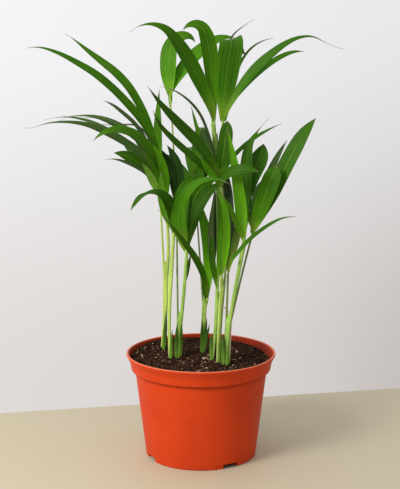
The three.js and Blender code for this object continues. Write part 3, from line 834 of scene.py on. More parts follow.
def makePotMaterial():
    finish = potFinish
    material, tree, body = newMaterial("terracottaPlastic")
    x, y, z = put(tree, "ShaderNodeSeparateXYZ", {0: body}).outputs
    squares = (calc(tree, "POWER", part, 2.0) for part in (x, y))
    across = calc(tree, "SQRT", calc(tree, "ADD", *squares))
    cloudy = grain(tree, body, finish["cloudScale"], 3.0)
    colour = blendColour(tree, ramp(tree, cloudy, 0.3, 0.7), finish["deep"], finish["colour"])
    flow = drawnGrain(tree, body, finish["flow"])
    colour = shaded(tree, colour, calc(tree, "MULTIPLY_ADD", flow, *finish["flowLevel"]))

    # Inside is what lies within the middle of the wall, which leans by the flare's slope
    slope = (pot["rimRadius"] - pot["flareFootRadius"]) / (pot["flareHeight"] - pot["lip"])
    flareFoot = pot["height"] - pot["flareHeight"]
    middle = (pot["flareFootRadius"] - pot["wall"] / 2 - slope * flareFoot) * mm
    shadowedInside = calc(tree, "LESS_THAN", across, calc(tree, "MULTIPLY_ADD", z, slope, middle))
    shadowedInside = product(tree, shadowedInside, calc(tree, "GREATER_THAN", z, finish["insideFrom"]))

    low = ramp(tree, z, *finish["soilHeights"], finish["soilShare"], 0.0)
    splash = grain(tree, body, finish["splashScale"], 4.0)
    splash = ramp(tree, splash, *finish["splashEdges"], 0.0, finish["splashShare"])
    bandFoot = (pot["height"] - pot["bandHeight"]) * mm
    bandShadowEdges = (bandFoot - depth for depth in finish["bandShadowFrom"])
    bandShadow = ramp(tree, z, *bandShadowEdges, 0.0, finish["bandShadowShare"])
    dust = grain(tree, body, finish["dustScale"])
    dust = ramp(tree, dust, *finish["dustEdges"], 0.0, finish["dustShare"])
    layers = (
        # painted shade on the inner wall above the soil
        (product(tree, shadowedInside, finish["shadowedInsideShare"]), finish["shadowedInside"]),
        (product(tree, low, shadowedInside, splash), finish["soilMark"]),
        # painted shade in a thin line just under the band's foot
        (
            product(tree, bandShadow, calc(tree, "LESS_THAN", z, bandFoot + finish["bandShadowOver"])),
            finish["bandShadowColour"],
        ),
        # a painted highlight along the top of the lip
        (ramp(tree, z, *finish["lipHighlightHeights"], 0.0, finish["lipHighlightShare"]), finish["edge"]),
        (product(tree, dust, calc(tree, "SUBTRACT", 1.0, shadowedInside)), finish["dust"]),
    )
    for share, layer in layers:
        colour = blendColour(tree, share, colour, layer)
    shine = ramp(tree, cloudy, 0.3, 0.7, *finish["roughness"], False)
    finishMaterial(tree, colour, shine, finish["specular"], flow, finish["relief"])
    return material


def makePot():
    height, wall, step = pot["height"], pot["wall"], pot["height"] - pot["bandHeight"]
    rim, flareFoot, bandFoot, bodyTop, foot = (
        pot[key + "Radius"] for key in ("rim", "flareFoot", "bandFoot", "bodyTop", "foot")
    )
    corners = [
        (0, 0),
        (foot, 0),
        (bodyTop, step - pot["stepFall"]),
        (bandFoot, step),
        (flareFoot, height - pot["flareHeight"]),
        (rim - pot["lipStep"], height - pot["lip"] - pot["lipStep"]),
        (rim, height - pot["lip"]),
        (rim, height),
        (rim - wall - pot["lipDraft"], height),
        (flareFoot - wall, height - pot["flareHeight"]),
        (bandFoot - wall, step + pot["stepRise"]),
        (bodyTop - wall, step - pot["stepFall"] + pot["stepRise"]),
        (foot - wall, pot["floor"]),
        (0, pot["floor"]),
    ]
    piece = lathe("potBody", rounded(corners, pot["roundings"]), pot["segments"])
    recess, hole, under = foot - drain["recessDepth"], foot - drain["reach"], -drain["under"]
    cutters = []
    for angle in drain["angles"]:
        ends = (under, drain["recessHeight"], angle, drain["recessWidth"])
        cutters.append(wedge(recess, recess + drain["slant"], *ends))
        ends = (2 * under, drain["holeHeight"], angle, drain["holeWidth"])
        cutters.append(wedge(hole, hole, *ends))
    for cutter in cutters:
        cut = piece.modifiers.new("cut", "BOOLEAN")
        cut.operation = "DIFFERENCE"
        cut.solver = "EXACT"
        cut.object = cutter
    bake(piece)
    for cutter in cutters:
        bpy.data.objects.remove(cutter)
    piece.data.materials.clear()
    piece.data.materials.append(makePotMaterial())
    smooth(piece, 32)
    keep(piece, "pot", "pot")


makePot()
print("pot made")


# The mix slopes and swells gently. Lumps of two sizes break it up, and it banks up at the wall.
mix = {
    "surface": 98.5,
    "slope": 0.035,
    "slopeBack": 0.045,
    "wave": 0.8,
    "waveLength": 120,
    "wavePhase": 1,
    "edgeRadius": 69.6,
    "wallGap": 0.5,
    "stepGap": 0.4,
    "floorGap": 0.3,
    "crumble": 1.8,
    "lumpSize": 6,
    "lumpFractal": (0.8, 2.2, 4),
    "lumpMiddle": 0.35,
    "bitSize": 1.6,
    "bitShare": 0.5,
    "calmWidth": 3,
    "calmLeast": 0.2,
    "bank": 2.6,
    "bankWidth": 7,
    "rings": 84,
    "segments": 168,
}


def mixHeight(x, y):
    turn = 2 * math.pi / mix["waveLength"]
    swell = math.sin(x * turn + mix["wavePhase"]) * math.cos(y * turn)
    return mix["surface"] - mix["slope"] * x + mix["slopeBack"] * y + mix["wave"] * swell


def lumpyHeight(x, y, radius):
    lump = noise.fractal(Vector((x, y, 3)) / mix["lumpSize"], *mix["lumpFractal"])
    lump += mix["bitShare"] * noise.noise(Vector((x, y, 9)) / mix["bitSize"])
    fromEdge = mix["edgeRadius"] - radius
    calm = min(1.0, fromEdge / mix["calmWidth"] + mix["calmLeast"])
    bank = mix["bank"] * max(0.0, 1 - fromEdge / mix["bankWidth"]) ** 2
    return mixHeight(x, y) + bank + mix["crumble"] * calm * (lump - mix["lumpMiddle"])


soilTones = {
    "earth": (0.038, 0.018, 0.009),
    "humus": (0.011, 0.006, 0.004),
    "bark": (0.100, 0.040, 0.020),
    "sand": (0.26, 0.18, 0.11),
    "chip": (0.62, 0.47, 0.34),
}

# Each material runs from one tone to another over lumps of a scale
soilKinds = {
    "earth": ("humus", "earth", 260.0),
    "humus": ("humus", "earth", 500.0),
    "bark": ("earth", "bark", 500.0),
    "sand": ("bark", "sand", 700.0),
    "chip": ("sand", "chip", 500.0),
}

soilFinish = {
    "lumpEdges": (0.35, 0.65),
    "fineRatio": 5,
    "fineLevel": (1.7, 0.12),
    "roughness": 0.92,
    "specular": 0.06,
    "relief": 0.0003,
}


def makeSoilMaterial(kind):
    first, second, scale = soilKinds[kind]
    finish = soilFinish
    material, tree, body = newMaterial("soil" + kind.capitalize())
    lumps = ramp(tree, grain(tree, body, scale, 5.0, 0.65), *finish["lumpEdges"])
    colour = blendColour(tree, lumps, soilTones[first], soilTones[second])
    fine = grain(tree, body, scale * finish["fineRatio"], 3.0, 0.7)
    colour = shaded(tree, colour, calc(tree, "MULTIPLY_ADD", fine, *finish["fineLevel"]))
    finishMaterial(tree, colour, finish["roughness"], finish["specular"], fine, finish["relief"])
    return material


soilMaterials = {kind: makeSoilMaterial(kind) for kind in soilKinds}


def makeMixBody():
    step = pot["height"] - pot["bandHeight"] + pot["stepRise"] + mix["stepGap"]
    inset = pot["wall"] + mix["wallGap"]
    foot = pot["floor"] + mix["floorGap"]
    profile = [
        (0, foot),
        (pot["footRadius"] - inset, foot),
        (pot["bodyTopRadius"] - inset, step - pot["stepFall"]),
        (pot["bandFootRadius"] - inset, step),
    ]
    profile += [(mix["edgeRadius"] * (1 - k / mix["rings"]), None) for k in range(mix["rings"])]
    profile.append((0, mixHeight(0, 0)))
    piece = lathe("mixBody", profile, mix["segments"], lumpyHeight)
    piece.data.materials.append(soilMaterials["earth"])
    smooth(piece, 70)
    return piece


# Crumbs, bark bits and pale chips scattered over the mix, sizes in metres
crumbs = {
    "Density": 300000.0,
    "Least upward": 0.35,
    "Smallest": 0.0007,
    "Largest": 0.0044,
    "Crowding of small": 2.6,
    "Least bump": 0.65,
    "Most bump": 1.15,
    "Seed": 5,
    "Turn seed": 2,
    "Size seed": 3,
    "Kind seed": 7,
}
crumbShapes = ((1, 0.8, 0.6), (1.5, 0.5, 0.35), (0.8, 0.9, 0.7))
crumbKinds = {"bark": 0.5, "sand": 0.9, "chip": 0.975}  # the draw above which a crumb is one


def makeCrumbTree():
    tree, given = newGeometryTree("soilCrumbs", crumbs)

    def draw(seed):
        feeds = {2: 0.0, 3: 1.0, "Seed": given[seed]}
        return put(tree, "FunctionNodeRandomValue", feeds, data_type="FLOAT").outputs[1]

    normal = put(tree, "GeometryNodeInputNormal").outputs[0]
    upward = put(tree, "ShaderNodeSeparateXYZ", {0: normal}).outputs[2]
    upward = compared(tree, upward, given["Least upward"], "GREATER_THAN").outputs[0]
    ground = {"Mesh": given["Mesh"], "Selection": upward}
    ground.update({key: given[key] for key in ("Density", "Seed")})
    scattered = put(tree, "GeometryNodeDistributePointsOnFaces", ground).outputs[0]
    shapes = put(tree, "GeometryNodeJoinGeometry")
    for lot, scale in enumerate(crumbShapes):
        ball = {"Radius": 0.5, "Subdivisions": 1}
        ball = put(tree, "GeometryNodeMeshIcoSphere", ball).outputs[0]
        place = put(tree, "GeometryNodeInputPosition").outputs[0]
        bumpy = {"Vector": place, "W": float(lot)}
        bumpy = put(tree, "ShaderNodeTexWhiteNoise", bumpy, noise_dimensions="4D").outputs["Value"]
        bumpy = ramp(tree, bumpy, 0.0, 1.0, given["Least bump"], given["Most bump"], False)
        moved = {0: place, "Scale": bumpy}
        moved = put(tree, "ShaderNodeVectorMath", moved, operation="SCALE").outputs[0]
        ball = {"Geometry": ball, "Position": moved}
        ball = put(tree, "GeometryNodeSetPosition", ball).outputs[0]
        ball = put(tree, "GeometryNodeTransform", {"Geometry": ball, "Scale": scale}).outputs[0]
        ball = put(tree, "GeometryNodeGeometryToInstance", {0: ball}).outputs[0]
        tree.links.new(ball, shapes.inputs[0])
    turn = {0: (0.0, 0.0, 0.0), 1: (6.28, 6.28, 6.28), "Seed": given["Turn seed"]}
    turn = put(tree, "FunctionNodeRandomValue", turn, data_type="FLOAT_VECTOR").outputs[0]
    size = calc(tree, "POWER", draw("Size seed"), given["Crowding of small"])
    size = ramp(tree, size, 0.0, 1.0, given["Smallest"], given["Largest"], False)
    standing = {"Points": scattered, "Instance": shapes.outputs[0], "Pick Instance": True}
    standing.update({"Rotation": turn, "Scale": size})
    standing = put(tree, "GeometryNodeInstanceOnPoints", standing).outputs[0]
    stored = {"Geometry": standing, "Name": "lot", "Value": draw("Kind seed")}
    kind = "GeometryNodeStoreNamedAttribute"
    stored = put(tree, kind, stored, data_type="FLOAT", domain="INSTANCE").outputs[0]
    geometry = put(tree, "GeometryNodeRealizeInstances", {0: stored}).outputs[0]
    geometry = setMaterial(tree, geometry, soilMaterials["humus"])
    for kind, least in crumbKinds.items():
        chosen = compared(tree, named(tree, "lot"), least, "GREATER_THAN")
        geometry = setMaterial(tree, geometry, soilMaterials[kind], chosen)
    put(tree, "NodeGroupOutput", {0: geometry})
    return tree


# Two small heaps of pale bark chips lie on the mix
chips = {
    "spots": [(4.5, -1), (1, -37)],
    "each": [11, 5],
    "spread": 2.8,
    "spreadShape": (1, 0.8),
    "size": (1.8, 3.6),
    "shape": (1, 0.7, 0.4),
    "turn": (1, 1, 6),
    "lift": 1.1,
    "seed": 4,
}


def makeChips():
    draw = np.random.default_rng(chips["seed"])
    heap = bmesh.new()
    for spot, amount in zip(chips["spots"], chips["each"]):
        for _ in range(amount):
            x, y = np.array(spot) + draw.normal(0, chips["spread"], 2) * chips["spreadShape"]
            size = draw.uniform(*chips["size"])
            place = Matrix.Translation(Vector((x, y, mixHeight(x, y) + chips["lift"])) * mm)
            turn = Euler(draw.uniform(-0.5, 0.5, 3) * chips["turn"]).to_matrix().to_4x4()
            shape = Matrix.Diagonal((*(size * part * mm for part in chips["shape"]), 1))
            matrix = place @ turn @ shape
            bmesh.ops.create_icosphere(heap, subdivisions=1, radius=0.5, matrix=matrix)
    mesh = bpy.data.meshes.new("mixChips")
    heap.to_mesh(mesh)
    heap.free()
    piece = newObject("mixChips", mesh)
    mesh.materials.append(soilMaterials["chip"])
    keep(piece, "potting_mix")


def makeSoil():
    body = makeMixBody()
    loose = newObject("mixCrumbs", body.data.copy())
    runTree(loose, makeCrumbTree(), crumbs)
    loose.data.attributes.remove(loose.data.attributes["lot"])
    keep(body, "potting_mix", "potting_mix")
    keep(loose, "potting_mix")
    makeChips()
    print("potting mix made,", len(loose.data.polygons), "faces of crumbs")


makeSoil()


# A row of the stem and stalk tables: where it starts and ends, its widths at foot and top, how far
# its middle bows towards +X and +Y, and its finish. A stem's foot is on the mix, and a stalk's is
# beside the top of its stem.
def limb(foot, top, width, bow, tone, **more):
    return {"foot": foot, "top": top, "width": width, "bow": bow, "tone": tone, **more}


# A row of the leaf tables: its place on the rib, how it leans from upright towards +X and turns
# away towards +Y from root to tip, its length and width, and the roll of its face. Angles are in
# degrees, at even steps along the leaf.
def leaf(at, lean, away, length, width, roll, tone, **shape):
    row = {"at": at, "lean": lean, "away": away, "length": length, "width": width}
    return {**row, "roll": roll, "tone": tone, **shape}


stems = {
    "stem_1": limb((-40.2, 34), (-36.8, 30, 186), (3.8, 5), (1, 0), "pale"),
    "stem_2": limb((-32, 6), (-31, 8, 183), (3, 3.8), (-1, 0), "pale"),
    "stem_3": limb((-23.7, 8), (-21.8, 3, 139), (4.8, 5.8), (0, 0), "green"),
    "stem_4": limb((1.2, 27), (3.2, 22, 150), (4.4, 5.6), (0, 0), "green"),
    "stem_5": limb((11.8, 1), (17, 5, 160), (3.6, 5), (0.5, 0), "green"),
    "stem_6": limb((17.4, -5), (21, -5, 175), (4, 5.6), (-0.5, 0), "pale"),
    "stem_7": limb((25, -11), (27.6, -10, 139), (5.4, 6.8), (0, 0), "green"),
}

stalks = {
    "stalk_1a": limb((-1.6, 0.6), (-42, 24, 270), (2.2, 1.8), (0, 0), "pale"),
    "stalk_1b": limb((1.8, -0.8), (-38.6, 14, 268), (3.4, 2.8), (3, 0), "pale"),
    "stalk_2a": limb((1.1, -1), (-27, -5, 228), (2.8, 2.4), (0, 0), "pale"),
    "stalk_2b": limb((-1.2, 1.2), (-31.3, 36, 362), (2.2, 1.6), (4.5, 4), "pale"),
    "stalk_3a": limb((-1.8, 1), (-24.9, 17, 252), (2, 1.8), (0, 0), "olive"),
    "stalk_3b": limb(
        (1.4, -0.8), (-14.5, -6, 210), (3.8, 3.2), (0.5, 0), "green",
        leaflets=[{"up": 38, "lean": [14, 10], "away": [6], "length": 33, "width": 4}],
    ),
    "stalk_4a": limb((1.6, -1.5), (6.4, 17, 157), (2.6, 2.6), (0, 0), "pale"),
    "stalk_4b": limb((-1, 1.4), (-5.5, 34, 262), (2, 1.6), (0, 0), "olive"),
    "stalk_5a": limb((-1, 1.8), (12.2, 10, 338), (3.2, 4.6), (3.5, 9.6), "green"),
    "stalk_5b": limb((0.4, -1.7), (16.5, 1, 169), (2.2, 2.2), (0, 0), "green"),
    "stalk_6a": limb((-0.3, 2.9), (21.5, 20, 330), (3.2, 3.4), (-0.8, 2), "green"),
    "stalk_6b": limb((2.3, -0.4), (21.3, -1, 274), (2.4, 2.4), (2.5, 1), "olive"),
    "stalk_6c": limb((-1, -1.4), (20.3, -10, 186), (2.2, 2.2), (0, 0), "pale"),
    "stalk_7a": limb((-2, 1.4), (27.2, -3, 188), (2.4, 2.2), (0, 0), "olive"),
    "stalk_7b": limb((1, -1.4), (42.6, -9, 219), (3.2, 4.6), (-0.3, 0), "green"),
    "stalk_7c": limb((2.2, 1.6), (50.6, -2, 226), (2.2, 2), (-0.3, 1), "olive"),
}

sheaths = {
    "stem_1": [{"lean": [6, 3], "length": 40, "width": 4.4}],
    "stem_2": [{"lean": [5, 2], "length": 28, "width": 3.6}],
    "stem_3": [
        {"lean": [-2, 4], "length": 37, "width": 4.5, "roll": [-30]},
        {"lean": [7, 2], "length": 36, "width": 5},
    ],
    "stem_4": [
        {"lean": [0, 0], "length": 34, "width": 4.4},
        {"lean": [6, 6], "length": 37, "width": 4},
        {"lean": [12, 12], "length": 31, "width": 3.5},
    ],
    "stem_5": [{"lean": [-3, 0], "length": 26, "width": 4}],
    "stem_6": [{"lean": [8, 2], "length": 26, "width": 4.5}],
    "stem_7": [{"lean": [-4, 0], "length": 30, "width": 5.5}, {"lean": [8, 5], "length": 29, "width": 5.2}],
}

stemShape = {
    "sunk": 3.5,
    "mouth": 9,
    "mouthSteps": (0.25, 0.5, 0.75, 1.0),
    "mouthTaper": (0.12, 0.4, 0.75, 1.0),
    "mouthWidth": 0.42,
    "core": 0.8,
    "strandReach": 0.5,
    "strandFoot": 0.62,
    "strandLap": 2.0,
    "step": 3.0,
}

sheathShape = {"depth": 1.5, "gap": 0.25, "aside": 0.2, "lift": 1.0, "extra": 3}
sheathOutline = {"fold": -0.22, "belly": 0.06, "taper": 1.9}

limbShape = {"step": 4.0, "leastRows": 4, "groove": 0.16, "ribTaper": 0.7, "ribSpan": (0.15, 0.95)}


def limbTone(name):
    return len(toneNames) + limbNames.index(name)


def pieceName(node, kind):
    return node.replace("_", "") + kind


def stemOf(stalk):
    return stalk.replace("stalk", "stem")[:-1]


def stemFoot(name):
    x, y = stems[name]["foot"]
    return np.array([x, y, mixHeight(x, y)])


def stalkEnds(name):
    fork = np.array(stems[stemOf(name)]["top"], float)
    return fork + (*stalks[name]["foot"], 0.0), np.array(stalks[name]["top"], float)


# A strand runs up the side of a stem and leads into a stalk
def addStrand(shell, line, wide, stalk, seed):
    rise = np.linspace(0, 1, len(line))
    offset = np.array([*stalk["foot"], 0.0])
    hug = unit(offset) * wide[:, None] * stemShape["strandReach"]
    blend = (rise**3)[:, None]
    strand = line + hug * (1 - blend) + offset * blend
    lap = strand[-1] + unit(strand[-1] - strand[-2]) * stemShape["strandLap"]
    strand = np.concatenate([[strand[0] - (0, 0, stemShape["sunk"])], strand, [lap]])
    thick = wide * stemShape["strandFoot"] * (1 - rise**2) + stalk["width"][0] / 2 * rise**2
    thick = np.concatenate([thick[:1], thick, thick[-1:]])
    addLimb(shell, strand, thick, limbTone(stalk["tone"]), seed)


# A green scale at a stem's foot, on its near side, that leans away as the stem does
def addSheath(shell, line, stem, sheath, seed):
    foot, top = line[0], line[-1]
    outside = stem["width"][0] / 2 * (stemShape["strandReach"] + stemShape["strandFoot"])
    aside = sheathShape["aside"] * np.sign(sheath["lean"][0]) * stem["width"][0]
    root = foot + (aside, -outside - sheathShape["gap"], -sheathShape["depth"])
    follow = math.degrees(math.atan2(top[1] - foot[1], top[2] - foot[2])) - sheathShape["lift"]
    length = sheath["length"] + sheathShape["extra"]
    scale = {**sheath, **sheathOutline, "length": length, "away": [follow]}
    addLeaf(shell, root, scale, limbTone("sheath"), seed)


# A stem is a bundle: its core, which tapers off above the fork, and a strand for each stalk
def makeStem(name, seed):
    stem = stems[name]
    foot, top = stemFoot(name), np.array(stem["top"], float)
    count = round((top[2] - foot[2]) / stemShape["step"])
    line = bowed(foot, top, stem["bow"], count)
    grow = unit(line[-1] - line[-2])
    below = foot - (0, 0, stemShape["sunk"])
    mouth = [top + grow * stemShape["mouth"] * share for share in stemShape["mouthSteps"]]
    wide = np.linspace(*stem["width"], count) / 2
    shrink = 1 - (1 - stemShape["mouthWidth"]) * np.array(stemShape["mouthTaper"])
    radii = stemShape["core"] * np.concatenate([wide[:1], wide, wide[-1] * shrink])
    shell = newShell()
    addLimb(shell, np.concatenate([[below], line, mouth]), radii, limbTone(stem["tone"]), seed)
    for key, stalk in stalks.items():
        if stemOf(key) == name:
            addStrand(shell, line, wide, stalk, (seed + 0.31 * len(shell["map"])) % 1)
    for k, sheath in enumerate(sheaths[name]):
        addSheath(shell, line, stem, sheath, seed + 0.1 * k)
    growPiece(pieceName(name, "Sheathed"), shell, "stem", name)


for place, name in enumerate(stems):
    makeStem(name, place / len(stems))
print("stems made")


def makeStalk(name, seed):
    stalk = stalks[name]
    foot, top = stalkEnds(name)
    length = np.linalg.norm(top - foot)
    count = max(limbShape["leastRows"], round(length / limbShape["step"]))
    line = bowed(foot, top, stalk["bow"], count)
    radii = np.linspace(*stalk["width"], count) / 2
    shell = newShell()
    addLimb(shell, line, radii, limbTone(stalk["tone"]), seed, limbShape["groove"])
    for leaflet in stalk.get("leaflets", []):
        root = foot + (top - foot) * leaflet["up"] / length
        addLeaf(shell, root, leaflet, toneNames.index("deep"), seed)
    growPiece(pieceName(name, "Petiole"), shell, "stalk", name)


for place, name in enumerate(stalks):
    makeStalk(name, place / len(stalks))
print("stalks made")


# Dry threads left by shed sheaths, from a point on the plant
threads = {
    "stem_5": [
        {"root": (20.5, -8, 158), "lean": [128, 140, 150], "length": 16, "width": 0.8},
        {"root": (21.5, -9.5, 102), "lean": [-6, 2, -8], "length": 20, "width": 1.1},
    ],
    "stem_4": [
        {"root": (4.5, 20, 150), "lean": [6, 2, -10], "length": 24, "width": 1.0},
        {"root": (3.2, 24, 104), "lean": [4, 12, 22], "length": 16, "width": 0.9},
    ],
    "stem_7": [
        {"root": (28.5, -14.5, 104), "lean": [4, 3, 6], "length": 36, "width": 1.3},
    ],
}


def makeThreads(name, seed):
    shell = newShell()
    for thread in threads[name]:
        addLeaf(shell, np.array(thread["root"], float), thread, limbTone("dry"), seed)
    growPiece(pieceName(name, "Threads"), shell, "stem")


for place, name in enumerate(threads):
    makeThreads(name, place / len(threads))
print("threads made")


# A frond springs from the top of the stalk of its name. Its rib has a lean, a turn away and a length.
fronds = {
    "frond_1a": {
        "rib": (-28, 6, 16),
        "leaves": [
            leaf(0.2, [-24, -44, -58, -86], [0, -4], 58, 12, [-25], "deep", belly=0.55),
            leaf(
                0.5, [-6, -22, -40, -52, -59, -63, -65, -77, -86, -95, -110, -84], [-14], 161, 9, [-40],
                "dusky", belly=0.3, taper=0.9, tail=1.6
            ),
            leaf(
                0.66, [-15, -30, -44, -54, -59, -61, -72, -83, -96, -107], [8], 142, 8, [-40], "dusky",
                belly=0.3, taper=0.9, tail=1.6
            ),
            leaf(
                0.3, [0, -12, -32, -44, -57, -66, -77, -90, -97, -127], [20], 152, 8, [-40], "dusky",
                belly=0.3, taper=0.9, tail=1.4
            ),
            leaf(0.9, [-2, -10, -22, -34, -50, -53, -72], [18], 104, 5, [-40], "shade", taper=2.5),
            leaf(0.1, [-24, -50, -62, -72, -100], [-6], 64, 4, [-20], "shade", tail=1.5),
            leaf(
                0.75, [0, -14, -34, -46, -58, -62, -68, -84, -125], [26, 14], 118, 4, [-30], "dusky",
                tail=1.5
            ),
            leaf(0.9, [-15, -30, -70], [44, 64], 98, 12, [-30], "deep"),
            leaf(0.5, [-30, -46, -64], [40, 60], 84, 14, [-30], "deep"),
        ],
    },
    "frond_1b": {
        "rib": (-6, 0, 18),
        "leaves": [
            leaf(
                0.2, [-2, -8, -20, -30, -42, -58, -84, -114, -138], [-26], 119, 11, [-40], "fresh",
                taper=1.6
            ),
            leaf(
                0.5, [-2, -9, -19, -32, -40, -44, -49, -58, -61, -72, -104], [-10], 207, 11, [-50],
                "mid", tail=1.2
            ),
            leaf(
                0.8, [-6, -11, -15, -21, -27, -32, -44, -53, -52, -50, -60], [8], 184, 11, [-45], "mid",
                belly=0.55, tail=1.6
            ),
            leaf(1, [-8, 0, 4], [8], 88, 9, [10], "light", belly=0.45, taper=0.9),
        ],
    },
    "frond_2a": {
        "rib": (-6, 0, 6),
        "leaves": [
            leaf(
                0.3, [0, 0, -11, -32, -56, -94, -138, -150], [-20, -40, -38, -36], 99, 13, [10, 0, -10,
                -25, -60, -94, -50, -20], "deep"
            ),
            leaf(0.9, [-24, 0], [4, -2], 60, 11, [10], "fresh"),
        ],
    },
    "frond_2b": {
        "rib": (0, 0, 5),
        "leaves": [
            leaf(0.6, [-4, -4, 1, 5, 35, 85, 162], [0, 6, 12, 20], 82, 18, [10, 40], "light"),
            leaf(0.9, [18, 34, 47, 58, 105], [12, 10], 95, 15, [20, 40], "light"),
        ],
    },
    # Both leaves of this frond take the darkest tone, painted shade for a frond lying in shadow
    "frond_3a": {
        "rib": (0, 0, 6),
        "leaves": [
            leaf(0.4, [-4, -8, -24, -36], [4, 12], 64, 10, [-20], "dark"),
            leaf(0.9, [12, 2, -16, -40], [4, 8], 62, 12, [10], "dark"),
        ],
    },
    "frond_3b": {
        "rib": (0, 0, 6),
        "leaves": [
            leaf(0.3, [-16, -12, 4, 20, 56], [16, 8, 10, 40], 84, 18, [14], "mid"),
            leaf(
                0.9, [-20, -15, -7, 8, 26, 42, 70, 98, 132], [-26, -18], 121, 17, [20, 40], "mid",
                belly=0.3, taper=0.8, tail=1.3
            ),
            leaf(0.6, [8, 14, 24, 44, 80], [6, 12], 84, 13, [20], "deep"),
        ],
    },
    "frond_4a": {
        "rib": (0, -5, 5),
        "leaves": [
            leaf(
                0.3, [-3, -9, -20, -31, -34, -36, -40], [-36, -14], 127, 7, [-15], "deep", taper=0.9,
                tail=1.3
            ),
            leaf(0.9, [4, 3, -6, -14, -16], [0], 106, 12, [15], "bright"),
        ],
    },
    "frond_4b": {
        "rib": (-5, 20, 16),
        "leaves": [
            leaf(0.2, [-30, -60, -100], [45, 60], 105, 13, [-20], "deep"),
            leaf(0.5, [-5, -10, -20], [40, 75, 110], 120, 14, [0], "mid"),
            leaf(0.8, [20, 45, 90], [45, 65, 90], 115, 14, [20], "deep"),
            leaf(1, [5, 10, 10], [25, 60, 100], 110, 13, [10], "mid"),
        ],
    },
    "frond_5a": {
        "rib": (2, 0, 6),
        "leaves": [
            leaf(
                0.4, [-6, -18, -23, -26, -27, -30, -34, -40, -72, -104, -132], [-22, -16], 147, 17,
                [-35], "mid", taper=1.2, tail=2
            ),
            leaf(
                0.9, [-2, -2, -2, -3, -4, -8, -12, -24, -90, -146], [-10], 114, 16, [-20, -10, -30],
                "mid", belly=0.62, taper=1.2
            ),
        ],
    },
    "frond_5b": {
        "rib": (0, 0, 5),
        "leaves": [
            leaf(0.3, [-10, -9, -3, 5, 13], [2], 98, 6.5, [-20], "pale"),
            leaf(0.9, [4, 2, -3], [-8, -2], 100, 5, [15], "mid"),
            leaf(0.6, [-12, -9, -3, 4], [-8, -2], 62, 6, [-10], "deep"),
        ],
    },
    "frond_6a": {
        "rib": (4, 0, 12),
        "leaves": [
            leaf(
                0.9, [20, 26, 30, 34, 40, 45, 49, 54, 64, 84, 118, 115, 98], [-8], 162, 11.5, [40],
                "deep", belly=0.4, taper=0.9, tail=2.4
            ),
            leaf(0.5, [14, 27, 40, 47, 51, 58, 70, 96], [24], 129, 7, [40], "mid", taper=2.6),
            leaf(0.8, [16, 17, 17, 19, 37, 62, 86], [30], 123, 3.4, [40], "deep"),
            leaf(
                0.9, [2, 4, 6, 8, 10, -10, -50, -50], [0, 0, 0, 0, 20, 90, 140, 150], 126, 24, [0],
                "mid", fold=0.04, belly=0.5, taper=1.8
            ),
            leaf(1, [0, 0, 2, 4, 20, 54, 60], [16], 118, 3, [20], "shade", tail=1.5),
        ],
    },
    "frond_6b": {
        "rib": (-14, 4, 12),
        "leaves": [
            leaf(0.2, [-40, -42, -46, -41, -16], [-34], 125, 7, [-30], "deep"),
            leaf(
                0.4, [-16, -33, -43, -41, -31], [-26, -20], 134, 12, [-35], "deep", taper=1.2, tail=1.2
            ),
            leaf(0.7, [-10, -14, -17, -22, -42, -60, -84], [8], 121, 3.2, [-30], "shade"),
            leaf(1, [-24, -20, -12], [8], 54, 11, [-20], "dusky", taper=3),
            leaf(0.9, [8, 8, 7, 6], [-8, -8, 14, 26], 60, 14, [0], "deep", taper=3.4),
            leaf(0.6, [-34, -24, -16, -14], [8], 82, 5, [-15], "fresh"),
            leaf(0.3, [-41, -34, -25], [-44], 53, 7, [-20], "bright"),
            leaf(
                0.1, [-26, 20, 62, 84, 110], [-60, -36, 0], 61, 11, [30], "deep", belly=0.5, taper=2.4
            ),
            leaf(0.5, [12, 35, 51, 62, 68], [16], 92, 4.6, [30], "mid", tail=1.3),
        ],
    },
    "frond_6c": {
        "rib": (4, 0, 5),
        "leaves": [
            leaf(0.3, [10, 6, 0, -10, -40], [-18, -10], 98, 8, [-20], "bright"),
        ],
    },
    "frond_7a": {
        "rib": (8, 0, 5),
        "leaves": [
            leaf(0.3, [0, 30, 36, 46, 56, 90], [-40, -26], 117, 4.5, [40], "deep"),
            leaf(0.9, [14, 13, 4], [10, 20], 78, 8, [10], "olive"),
        ],
    },
    "frond_7b": {
        "rib": (2, 0, 8),
        "leaves": [
            leaf(0.3, [-20, -22, -30], [-14], 56, 5.5, [-10], "fresh"),
            leaf(0.6, [-6, -7, -10, -12], [-6, -2], 115, 12.5, [-15], "bright", belly=0.3, taper=1),
            leaf(
                1, [3, 3, 3, 2, 1, 2, 6, 30, 40, 45], [14, 6], 127, 13, [15], "deep", belly=0.45,
                taper=1.6, tail=3.5
            ),
        ],
    },
    "frond_7c": {
        "rib": (12, 4, 10),
        "leaves": [
            leaf(0.3, [24, 27, 26, 28, 40], [0], 131, 17, [30], "deep", taper=2.6),
            leaf(0.5, [15, 18, 20, 20], [-18, -12, -4, 16], 73, 18, [10], "mid", belly=0.6, taper=3.0),
            leaf(
                1, [-22, -10, 16, 30, 10], [12, 10, 14, 30], 90, 19, [70, 62, 28, 5, 5], "deep",
                taper=3.4
            ),
            leaf(0.8, [12, 18, 24, 34], [14], 98, 9, [30], "dusky"),
            leaf(1, [10, 24, 50], [50, 65, 80], 100, 14, [20], "deep"),
        ],
    },
}

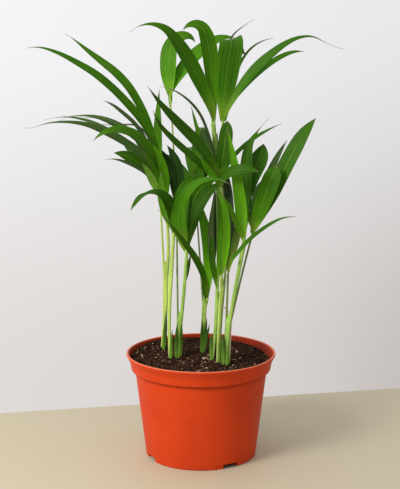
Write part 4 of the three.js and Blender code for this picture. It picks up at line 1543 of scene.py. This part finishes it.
# Leaves that thicken the crown's middle and the fans' bases, beside those of the table above
inner = {
    "frond_1a": [
        leaf(-1.0, [-36, -28, -26, -34], [-16], 46, 8, [-10], "sap"),
        leaf(-0.7, [-22, -30, -38], [-14], 34, 5, [-30], "sap"),
        leaf(0.6, [0, -6, -14, -40, -92, -94, -84], [24], 112, 2, [0], "shade"),
    ],
    "frond_1b": [
        leaf(-1.0, [8, -2, -16, -34], [-16], 70, 10, [-30], "bright"),
        leaf(-0.6, [-10, -12, -24, -40], [-24], 62, 6, [-30], "light"),
    ],
    "frond_3b": [
        leaf(0.8, [2, 4, 20, 44, 74], [10, 16], 90, 16, [0], "mid"),
        leaf(0.5, [4, 10, 13, 10], [20, 28], 104, 15, [0], "deep"),
    ],
    "frond_2b": [
        leaf(-2.5, [2, -2], [4], 26, 4.2, [0], "light"),
    ],
    "frond_4a": [
        leaf(-1.0, [-7, -8], [-10], 32, 6, [0], "mid"),
        leaf(0.5, [5, 6, 3, 2], [10, 16], 114, 10, [0], "dusky"),
    ],
    "frond_4b": [
        leaf(0.4, [26, 24, 20, 12], [-6], 64, 12, [0], "deep"),
    ],
    "frond_7a": [
        leaf(0.6, [2, 0, -3, -6], [14, 22], 106, 12, [10], "shade", taper=2.4),
        leaf(0.6, [-3, -1, 2, 6], [24, 30], 96, 11, [0], "deep"),
    ],
}


def makeFrond(name, seed):
    frond = fronds[name]
    stalkName = name.replace("frond", "stalk")
    stalk = stalks[stalkName]
    _, top = stalkEnds(stalkName)
    lean, away, length = frond["rib"]
    tip = top + heading(lean, away) * length
    shell = newShell()
    line = np.linspace(top, tip, 7)
    radii = np.linspace(1, limbShape["ribTaper"], 7) * stalk["width"][1] / 2
    addLimb(shell, line, radii, limbTone(stalk["tone"]), seed, limbShape["groove"])
    low, high = limbShape["ribSpan"]
    for k, row in enumerate(frond["leaves"] + inner.get(name, [])):
        root = top + (tip - top) * (low + (high - low) * row["at"])
        addLeaf(shell, root, row, toneNames.index(row["tone"]), (seed + 0.37 * k) % 1)
    growPiece(pieceName(name, "Leaves"), shell, "foliage", name)


for place, name in enumerate(fronds):
    makeFrond(name, place / len(fronds))
print("fronds made")
